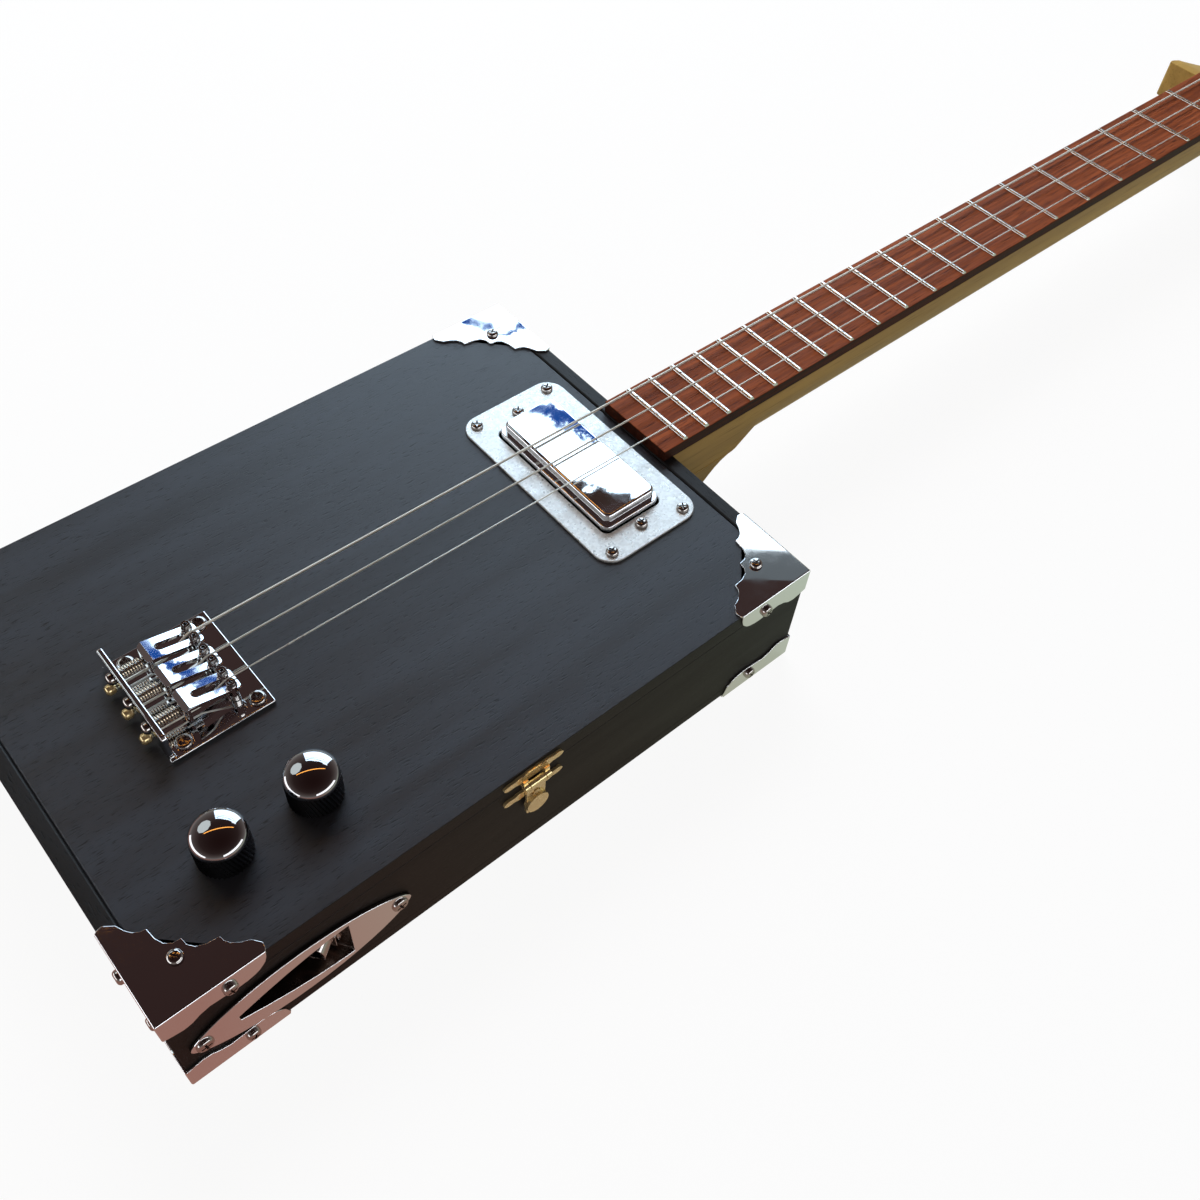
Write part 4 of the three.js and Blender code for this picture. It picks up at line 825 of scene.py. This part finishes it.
def dress_saddle(node):
    saddle = soften(copied(node), saddle_edge, segments=3, angle=35)
    places = [Vector((grub_x, centre_of(node).y + way * grub_spread, 0)) for way in (-1, 1)]
    grubs = joined(*(placed_copy(grub_model, Matrix.Translation(place)) for place in places))
    carry(saddle, node + "_steel", node, chrome)
    carry(grubs, node + "_grub_screws", node, screw_steel, False)


# %% [markdown]
# Behind each saddle a long screw goes through the flange. It has a large pan head and a thread over its
# whole length, and it rides on a body of its own, because it turns while the saddle slides.

# %% Long screw
screw_height = lid_top + 8.8 * mm
screw_seat_x = base_low.x - 0.3 * mm
long_radius = 1.4 * mm
long_thread = 0.18 * mm


def dress_long_screw(node, y):
    seat = Vector((screw_seat_x, y, screw_height))
    tip = Vector((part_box(node)[1].x, y, screw_height))
    head = placed_copy(long_screw_head, facing(seat, (-1, 0, 0)))
    shank = threaded_rod(seat, tip, long_radius, fine_pitch, long_thread, sides=16)
    carry(joined(head, shank), node + "_steel", node, screw_steel)


# %% [markdown]
# A spring round each long screw pushes its saddle forward. One end stays at the flange and the other goes
# with the saddle. The coil stands in its solid's place and rides on no body.

# %% Spring
spring_radius = 2.05 * mm
spring_thickness = 0.5 * mm
spring_curls = 8


def dress_spring(node, y):
    low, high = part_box(node)
    start = Vector((low.x + spring_thickness / 2, y, screw_height))
    length = high.x - low.x - spring_thickness
    spring = coil(start, (1, 0, 0), spring_radius, spring_thickness, spring_curls, length)
    spring.name = node + "_coil"
    spring.data.name = spring.name
    spring.data.materials.append(spring_wire)
    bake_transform(spring)
    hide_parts(node)


# %% [markdown]
# The three saddles stand side by side, each with its own pair of grub screws, its long screw and its
# spring.

# %% All three saddles
for number in (1, 2, 3):
    node = f"saddle_{number}"
    dress_saddle(node)
    dress_long_screw(node + "_screw", centre_of(node).y)
    dress_spring(node + "_spring", centre_of(node).y)
    print(node, "lies at", round(centre_of(node).y / mm, 1), "mm")

# %% [markdown]
# The strings keep their solids' route, with round smooth shading. Each ends in a small turned brass ball.
# The string's pull draws it up against the bridge's flange, so the ball is moved there and painted as
# brass.

# %% Strings
string_edge = 0.02 * mm
ball_step = 2.4 * mm
behind_flange = base_low.x - 0.5 * mm
ball_start = base_low.x - 0.2 * mm
string_finishes = {"string_1": wound_string, "string_2": wound_string, "string_3": plain_string}
for node, finish in string_finishes.items():
    string = soften(copied(node), string_edge, segments=1, angle=60)
    pick(string, "VERT", lambda point: point.x < behind_flange)
    bpy.ops.transform.translate(value=(ball_step, 0, 0))
    leave()
    carry(string, node + "_wire", node, finish)
    paint_faces(string, brass, lambda place, normal: place.x < ball_start)
    print(node, "length:", round(string.dimensions.x / mm), "mm")


# %% [markdown]
# The pickup's cover is drawn from one sheet: a rounded block over a narrow lip. Its corners are much rounder
# than its rim, and one bevel would make both alike. So a cube is bevelled twice, first its upright edges and
# then its top rim, and a flatter one below it is the lip.

# %% Rounded block
def rounded_block(low, high, corner, rim, rim_segments=4):
    """A block whose upright edges have the corner radius and whose top rim has the rim radius."""
    block = plain_block((Vector(low) + Vector(high)) / 2, Vector(high) - Vector(low))
    bevel_edges(block, lambda middle, way: abs(way.z) > way.length * nearly_all, corner, 8)
    top = Vector(high).z
    pick(block, "FACE", lambda middle, normal: normal.z > nearly_all and middle.z > top - 0.01 * mm)
    bpy.ops.mesh.region_to_loop()
    bpy.ops.mesh.bevel(offset=rim, segments=rim_segments, affect="EDGES")
    leave()
    return level_faces(smooth(block, angle=30))


# %% [markdown]
# The cover is joined with its lip and with a strip whose two ends are the ears. The height screws go
# through the ears, so a round hole is cut in each.

# %% Pickup cover
pickup_low, pickup_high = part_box("pickup")
pickup_middle = centre_of("pickup")
cover_half = Vector((12.6, 32.1)) * mm
lip = 1.4 * mm
lip_top = lid_top + 3.4 * mm
cover_foot = pickup_low.z + 2 * mm
cover_corner = 3.2 * mm
cover_rim = 1.3 * mm
lip_corner = 3.4 * mm
lip_rim = 0.5 * mm
ear_width = 10 * mm
ear_thickness = 2 * mm
ear_hole = 1.6 * mm
height_screws = ("pickup_screw_far", "pickup_screw_near")
cover = rounded_block((pickup_middle.x - cover_half.x, -cover_half.y, cover_foot),
                      (pickup_middle.x + cover_half.x, cover_half.y, pickup_high.z), cover_corner, cover_rim)
skirt = rounded_block((pickup_low.x, -cover_half.y - lip, pickup_low.z),
                      (pickup_high.x, cover_half.y + lip, lip_top), lip_corner, lip_rim, rim_segments=3)
ears = plain_block((pickup_middle.x, 0, pickup_low.z + ear_thickness / 2),
                   (ear_width, pickup_high.y - pickup_low.y, ear_thickness))
for node in height_screws:
    cut(ears, added(bpy.ops.mesh.primitive_cylinder_add, vertices=24, radius=ear_hole, depth=9 * mm,
                    location=(pickup_middle.x, centre_of(node).y, pickup_low.z)))
carry(joined(cover, skirt, ears), "pickup_cover", "pickup", chrome)
print("pickup cover:", [round(size / mm, 1) for size in cover.dimensions], "mm")

# %% [markdown]
# The plate round the pickup is galvanised sheet with a small screw at each corner. The two height screws
# hang through it and have a long thread, which the pickup climbs.

# %% Pickup plate and height screws
ring_top = lid_top + 1.2 * mm
ring_edge = 0.3 * mm
ring_screw = Vector((18.1, 41.8)) * mm
ring_places = [Vector((pickup_middle.x + way_x * ring_screw.x, way_y * ring_screw.y, ring_top))
               for way_x in (-1, 1) for way_y in (-1, 1)]
ring_heads = [(place, Vector((0, 0, 1))) for place in ring_places]
ring = press(without_heads("pickup_plate", ring_heads, small_reach), ring_edge)
carry(ring, "pickup_ring", "pickup_plate", galvanised)
carry(screw_set(small_head, ring_heads), "pickup_ring_screws", "pickup_plate", screw_steel, False)

for node in height_screws:
    seat = Vector((pickup_middle.x, centre_of(node).y, ring_top + 0.3 * mm))
    tip = Vector((seat.x, seat.y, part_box(node)[0].z))
    head = screw_copy(small_head, seat, (0, 0, 1))
    shank = threaded_rod(seat, tip, long_radius, fine_pitch, long_thread, sides=12)
    carry(joined(head, shank), node + "_steel", node, screw_steel)


# %% [markdown]
# The knobs have a polished dome over a knurled band. Its grooves are fine and run aslant. To cut them one by
# one would be slow, so they are in the outline: a many-sided disc has every second point pulled in, is
# extruded ring by ring, and each ring is turned a little further.

# %% Knurled band
knob_foot = lid_top + 1 * mm
band_top = lid_top + 12.2 * mm
teeth = 40
tooth_depth = 0.94
band_rings = 6
ring_height = (band_top - knob_foot) / band_rings
ring_turn = math.radians(3.4)


def knurled_band(centre, radius):
    band = added(bpy.ops.mesh.primitive_circle_add, vertices=2 * teeth, radius=radius, fill_type="NGON",
                 location=centre)
    tooth = math.pi / teeth
    pick(band, "VERT", lambda point: round((point - centre).xy.angle_signed(Vector((1, 0))) / tooth) % 2 == 0)
    bpy.ops.transform.resize(value=(tooth_depth, tooth_depth, 1), center_override=centre)
    leave()
    pick_all_faces(band)
    for number in range(band_rings):
        bpy.ops.mesh.extrude_region_move(TRANSFORM_OT_translate={"value": (0, 0, ring_height)})
        bpy.ops.transform.rotate(value=ring_turn, orient_axis="Z", center_override=centre)
    turn_faces_out()
    print("band:", teeth, "teeth")
    return smooth(band, angle=20)


# %% [markdown]
# A bevelled cylinder would keep a flat spot on top, which the real dome doesn't have, so this one is the
# upper half of a flattened ball. The lower half is deleted, and the open edge is drawn down to the band and
# closed.

# %% Knob dome
dome_lift = 0.8 * mm
half_a_row = 0.05 * mm
dome_share = 0.985


def knob_dome(centre, radius, top):
    dome = added(bpy.ops.mesh.primitive_uv_sphere_add, segments=64, ring_count=32, radius=radius)
    dome.scale = (dome_share, dome_share, (top - band_top - dome_lift) / radius)
    dome.location = (centre.x, centre.y, band_top + dome_lift)
    settle(dome)
    pick(dome, "VERT", lambda point: point.z < band_top + dome_lift - half_a_row)
    bpy.ops.mesh.delete(type="VERT")
    leave()
    pick(dome, "EDGE", lambda middle, way: middle.z < band_top + dome_lift + half_a_row)
    bpy.ops.mesh.extrude_region_move(TRANSFORM_OT_translate={"value": (0, 0, -dome_lift)})
    bpy.ops.mesh.edge_face_add()
    turn_faces_out()
    return smooth(dome, angle=40)


# %% [markdown]
# Each knob sits on the shaft of its control, which hangs under the lid. The cans are copies of their
# solids.

# %% Knobs and their controls
shaft_radius = 2.9 * mm
can_edge = 0.2 * mm
for node in ("knob_volume", "knob_tone"):
    low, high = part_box(node)
    radius = (high.x - low.x) / 2
    foot_centre = Vector((centre_of(node).x, centre_of(node).y, knob_foot))
    band = knurled_band(foot_centre, radius)
    dome = knob_dome(foot_centre, radius, high.z)
    shaft = added(bpy.ops.mesh.primitive_cylinder_add, vertices=24, radius=shaft_radius,
                  depth=knob_foot - low.z, location=(foot_centre.x, foot_centre.y, (knob_foot + low.z) / 2))
    smooth(shaft, angle=40)
    carry(dome, node + "_dome", node, black_chrome, False)
    # Band and shaft get the darker chrome, which paints the shade of the knurl's grooves.
    carry(joined(band, shaft), node + "_band", node, knurl_painted_shade)
    print(node, "width:", round(2 * radius / mm, 1), "mm")
for node in ("pot_volume", "pot_tone"):
    carry(soften(copied(node), can_edge), node + "_can", node, plain_steel)

# %% [markdown]
# The jack plate is stamped like the protectors. Its cup lies in the box's shade, so the faces behind the
# plate's own get a darker, duller metal: painted shade. The socket in the cup, with its barrel and its nut,
# is a softened copy of its solid.

# %% Output jack
plate_face = box_low.y - 1.4 * mm
jack_edge = 0.35 * mm
socket_edge = 0.2 * mm
jack_screw_x = 35.6 * mm
jack_screw_z = 23 * mm
jack_screw_sink = Vector((0, 0.2, 0)) * mm
cup_start = plate_face + 0.45 * mm
jack_middle = centre_of("jack_plate")
jack_heads = [(Vector((jack_middle.x + way * jack_screw_x, plate_face, jack_screw_z)), Vector((0, -1, 0)))
              for way in (-1, 1)]
jack_plate = press(without_heads("jack_plate", jack_heads, large_reach), jack_edge, segments=3)
carry(jack_plate, "jack_plate_sheet", "jack_plate", chrome)
# The faces inside the cup get the darker metal: painted shade.
paint_faces(jack_plate, cup_painted_shade, lambda place, normal: place.y > cup_start)
jack_screws = screw_set(large_head, [(place + jack_screw_sink, way) for place, way in jack_heads])
carry(jack_screws, "jack_plate_screws", "jack_plate", screw_steel, False)
socket = soften(copied("output_jack"), socket_edge, angle=40)
carry(socket, "output_jack_socket", "output_jack", screw_steel)
print("jack plate:", [round(size / mm, 1) for size in jack_plate.dimensions], "mm")

# %% [markdown]
# The clasp is cast from thin brass: two winged plates, and a hasp that hangs from the upper one. The solids
# have the right outlines, so they are copied, and as a casting has no sharp edge, all their edges are soft.

# %% Clasp
cast_edge = 0.22 * mm
for node in ("clasp_upper_plate", "clasp_lower_plate", "clasp_hasp"):
    carry(soften(copied(node), cast_edge, angle=30), node + "_brass", node, brass)

# %% [markdown]
# The tuners sit on the headstock, out of the photograph's view. They are common enclosed ones: the copies
# get rounded cases, posts and buttons, and the wraps of string on the posts are copies with smooth shading.

# %% Tuners
tuner_edges = {"case": 0.6 * mm, "post": 0.25 * mm, "button": 0.3 * mm}
for number in (1, 2, 3):
    for part, edge in tuner_edges.items():
        node = f"tuner_{number}_{part}"
        carry(soften(copied(node), edge, segments=3, angle=35), node + "_chrome", node, chrome)
    node = f"tuner_{number}_winding"
    finish = string_finishes[f"string_{number}"]
    wraps = soften(copied(node), string_edge, segments=1, angle=60)
    carry(wraps, node + "_wire", node, finish)

for model in (small_head, large_head, long_screw_head, grub_model):
    bpy.data.objects.remove(model)
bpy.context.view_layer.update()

# %% [markdown]
# The studio is a pale floor in a dim room. The camera sees the floor as white and it still takes the
# guitar's shadow. Polished metal sees it as a warm table that turns pale toward the neck, which is what
# tints the plates on the box's front.

# %% Floor
floor_size = 14
floor_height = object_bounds()[0][2]
white_share = 0.93
table_share = 0.9
table_warm = (0.38, 0.185, 0.145)
table_pale = (0.50, 0.58, 0.45)
floor = added(bpy.ops.mesh.primitive_plane_add, size=floor_size, location=(0.3, 0, floor_height))
floor.name = "studio_floor"
floor_material, floor_shader, floor_place = new_material("pale_floor", (0.80, 0.78, 0.76), roughness=0.9)
floor_tree = floor_material.node_tree
rays = new_node(floor_tree, "ShaderNodeLightPath")


def glow_share(tree, under, ray, amount, colour):
    """Mixes an even glow over a shader for one kind of ray, by an amount."""
    glow = new_node(tree, "ShaderNodeEmission", {"Color": colour})
    part = new_node(tree, "ShaderNodeMath", {0: ray, 1: amount}, operation="MULTIPLY")
    mix = new_node(tree, "ShaderNodeMixShader",
                   {"Fac": part.outputs["Value"], 1: under, 2: glow.outputs["Emission"]})
    return mix.outputs["Shader"]


along = new_node(floor_tree, "ShaderNodeSeparateXYZ", {"Vector": floor_place})
neckward = map_range(floor_tree, along.outputs["X"], -0.06, 0.24)
table_colour = colour_mix(floor_tree, neckward, table_warm, table_pale)
seen_white = glow_share(floor_tree, floor_shader.outputs["BSDF"], rays.outputs["Is Camera Ray"],
                        white_share, (1, 1, 1, 1))
seen_warm = glow_share(floor_tree, seen_white, rays.outputs["Is Glossy Ray"], table_share, table_colour)
floor_tree.links.new(seen_warm, floor_tree.nodes["Material Output"].inputs["Surface"])
floor.data.materials.append(floor_material)
print("floor height:", round(floor_height / mm, 1), "mm")

# %% [markdown]
# The room above is dark and reddish brown, and brighter near the horizon. Only the camera sees it white.

# %% Room
world = bpy.data.worlds.new("dim_room")
bpy.context.scene.world = world
world.use_nodes = True
sky = world.node_tree
sky_place = new_node(sky, "ShaderNodeTexCoord")
sky_split = new_node(sky, "ShaderNodeSeparateXYZ", {"Vector": sky_place.outputs["Generated"]})
sky_ramp = new_node(sky, "ShaderNodeValToRGB", {"Fac": sky_split.outputs["Z"]})
sky_stops = ((0.0, (0.38, 0.36, 0.35)), (0.25, (0.20, 0.175, 0.165)), (0.55, (0.105, 0.08, 0.075)),
             (0.74, (0.050, 0.031, 0.029)), (1.0, (0.026, 0.012, 0.011)))
for position, _ in sky_stops[1:-1]:
    sky_ramp.color_ramp.elements.new(position)
for element, (_, colour) in zip(sky_ramp.color_ramp.elements, sky_stops):
    element.color = (*colour, 1)
sky_brown = sky.nodes["Background"]
sky.links.new(sky_ramp.outputs["Color"], sky_brown.inputs["Color"])
sky_white = new_node(sky, "ShaderNodeBackground", {"Color": (1, 1, 1, 1)})
sky_rays = new_node(sky, "ShaderNodeLightPath")
sky_mix = new_node(sky, "ShaderNodeMixShader", {"Fac": sky_rays.outputs["Is Camera Ray"],
                                                1: sky_brown.outputs["Background"],
                                                2: sky_white.outputs["Background"]})
sky.links.new(sky_mix.outputs["Shader"], sky.nodes["World Output"].inputs["Surface"])
print("sky stops:", len(sky_ramp.color_ramp.elements))


# %% [markdown]
# The bright shapes in the metal come from what stands in the room: a tall window beyond the neck, two small
# panes over its edge, a round screen, two low strips at the sides and a warm tube. The camera sees none of
# them.

# %% Glowing panes
def glowing_material(name, colour, strength):
    material = bpy.data.materials.new(name)
    material.use_nodes = True
    tree = material.node_tree
    tree.nodes.remove(tree.nodes["Principled BSDF"])
    glow = new_node(tree, "ShaderNodeEmission", {"Color": (*colour, 1), "Strength": strength})
    tree.links.new(glow.outputs["Emission"], tree.nodes["Material Output"].inputs["Surface"])
    return material, glow


def flat_pane(width, height):
    pane = added(bpy.ops.mesh.primitive_plane_add, size=1)
    pane.scale = (width, height, 1)
    return settle(pane)


def show(piece, name, material):
    """Makes a piece of the stage that glows and that the camera doesn't see."""
    piece.name = name
    piece.data.materials.append(material)
    piece.visible_camera = False
    print("stage:", name)


def stand(piece, name, place, target, material):
    """Stands a stage piece at a place with its face towards a target."""
    show(moved(piece, facing(place, Vector(target) - Vector(place))), name, material)


# %% [markdown]
# Leaves outside the window show as ragged blue marks in the pickup's cover. They are bands of dark blue
# across the glass, and noise makes their edges ragged. The bands lean a little, as the marks in the
# photograph do.

# %% Window
aim = Vector((0.1, 0, 0.05))
window_way = Vector((0.643, 0.766, 0))
window_width = 1.45
window_distance = 1.5
window_low = 0.25
window_high = 1.72
pane_blue = (0.64, 0.83, 1.0)
leaf_blue = (0.004, 0.02, 0.09)
dusk = (0.010, 0.006, 0.005)
glass_bands = ((1.395, leaf_blue), (1.420, pane_blue), (1.590, leaf_blue), (1.650, pane_blue), (1.85, dusk))
band_edge = 0.008
raggedness = 0.42

window_glass, window_glow = glowing_material("window_glow", pane_blue, 4.2)
glass = window_glass.node_tree
glass_place = new_node(glass, "ShaderNodeTexCoord").outputs["Object"]
band_lean = (-0.115, 0.096, 1)
rise = new_node(glass, "ShaderNodeVectorMath", {0: glass_place, 1: band_lean}, operation="DOT_PRODUCT")
leaves = noise(glass, glass_place, 4.5, detail=8.0, roughness=0.7)
ragged = new_node(glass, "ShaderNodeMath", {0: leaves, 1: raggedness, 2: rise.outputs["Value"]},
                  operation="MULTIPLY_ADD")
shade = pane_blue
for low, colour in glass_bands:
    step = map_range(glass, ragged.outputs["Value"], low, low + band_edge)
    shade = colour_mix(glass, step, shade, colour)
glass.links.new(shade, window_glow.inputs["Color"])

window_place = aim + window_way * window_distance
window_place.z = (window_low + window_high) / 2
window = flat_pane(window_width, window_high - window_low)
stand(window, "window", window_place, window_place - window_way, window_glass)

# %% [markdown]
# The smaller pieces follow highlights that are seen one by one. The two panes make the pale and the grey
# band on the corner protector beside the neck. The screen and the tube make the round spot and the warm
# line on the knobs. The strips light the rounded folds of the sheet, and are hidden from wood, which they
# would light too much.

# %% Panes, screen, strips and tube
window_side = Vector((0.766, -0.643, 0))
small_panes = (("upper_pane", 1.70, 1.82, 3.0), ("upper_shade", 1.82, 1.93, 0.17))
pane_width = 0.42
pane_distance = 1.48
pane_shift = 0.57
for name, low, high, strength in small_panes:
    pane_place = aim + window_way * pane_distance + window_side * pane_shift
    pane_place.z = (low + high) / 2
    pane_glow = glowing_material(name + "_glow", (0.80, 0.92, 1.0), strength)[0]
    stand(flat_pane(pane_width, high - low), name, pane_place, pane_place - window_way, pane_glow)

screen_radius = 0.42
screen_place = Vector((-0.25, 1.35, 1.32))
screen = added(bpy.ops.mesh.primitive_circle_add, vertices=9, radius=screen_radius, fill_type="NGON")
screen_glow = glowing_material("screen_glow", (0.78, 0.88, 0.88), 1.5)[0]
stand(screen, "round_screen", screen_place, aim, screen_glow)

strip_length = 2.4
front_place = Vector((0.5, -1.5, 0.68))
tail_place = Vector((-1.5, 0.5, 0.32))
for name, place, height in (("front_strip", front_place, 0.62), ("tail_strip", tail_place, 0.5)):
    strip = flat_pane(strip_length, height)
    strip_glow = glowing_material(name + "_glow", (0.94, 0.97, 1.0), 3.0)[0]
    stand(strip, name, place, Vector((aim.x, 0, place.z)), strip_glow)
    strip.visible_diffuse = False

tube_length = 1.9
tube_width = 0.06
tube_place = Matrix.Translation((0.33, 0.76, 1.8)) @ Matrix.Rotation(math.radians(-24), 4, "Z")
tube = moved(flat_pane(tube_length, tube_width), tube_place)
show(tube, "warm_tube", glowing_material("tube_glow", (1.0, 0.42, 0.08), 4.0)[0])


# %% [markdown]
# Two area lamps carry most of the light. They are hidden from the metal, so they add no shapes of their
# own.

# %% Lamps
def soft_lamp(name, place, width, height, power, colour):
    bpy.ops.object.select_all(action="DESELECT")
    bpy.ops.object.light_add(type="AREA", location=place)
    lamp = bpy.context.object
    lamp.name = name
    lamp.data.shape = "RECTANGLE"
    lamp.data.size = width
    lamp.data.size_y = height
    lamp.data.energy = power
    lamp.data.color = colour
    lamp.rotation_euler = (aim - Vector(place)).to_track_quat("-Z", "Y").to_euler()
    lamp.visible_glossy = False
    print("lamp:", name, power, "W")


soft_lamp("window_lamp", (0.75, 1.15, 1.55), 1.2, 0.9, 34, (0.93, 0.96, 1.0))
soft_lamp("fill_lamp", (-0.9, -0.9, 1.3), 0.9, 0.9, 4, (1.0, 0.92, 0.84))
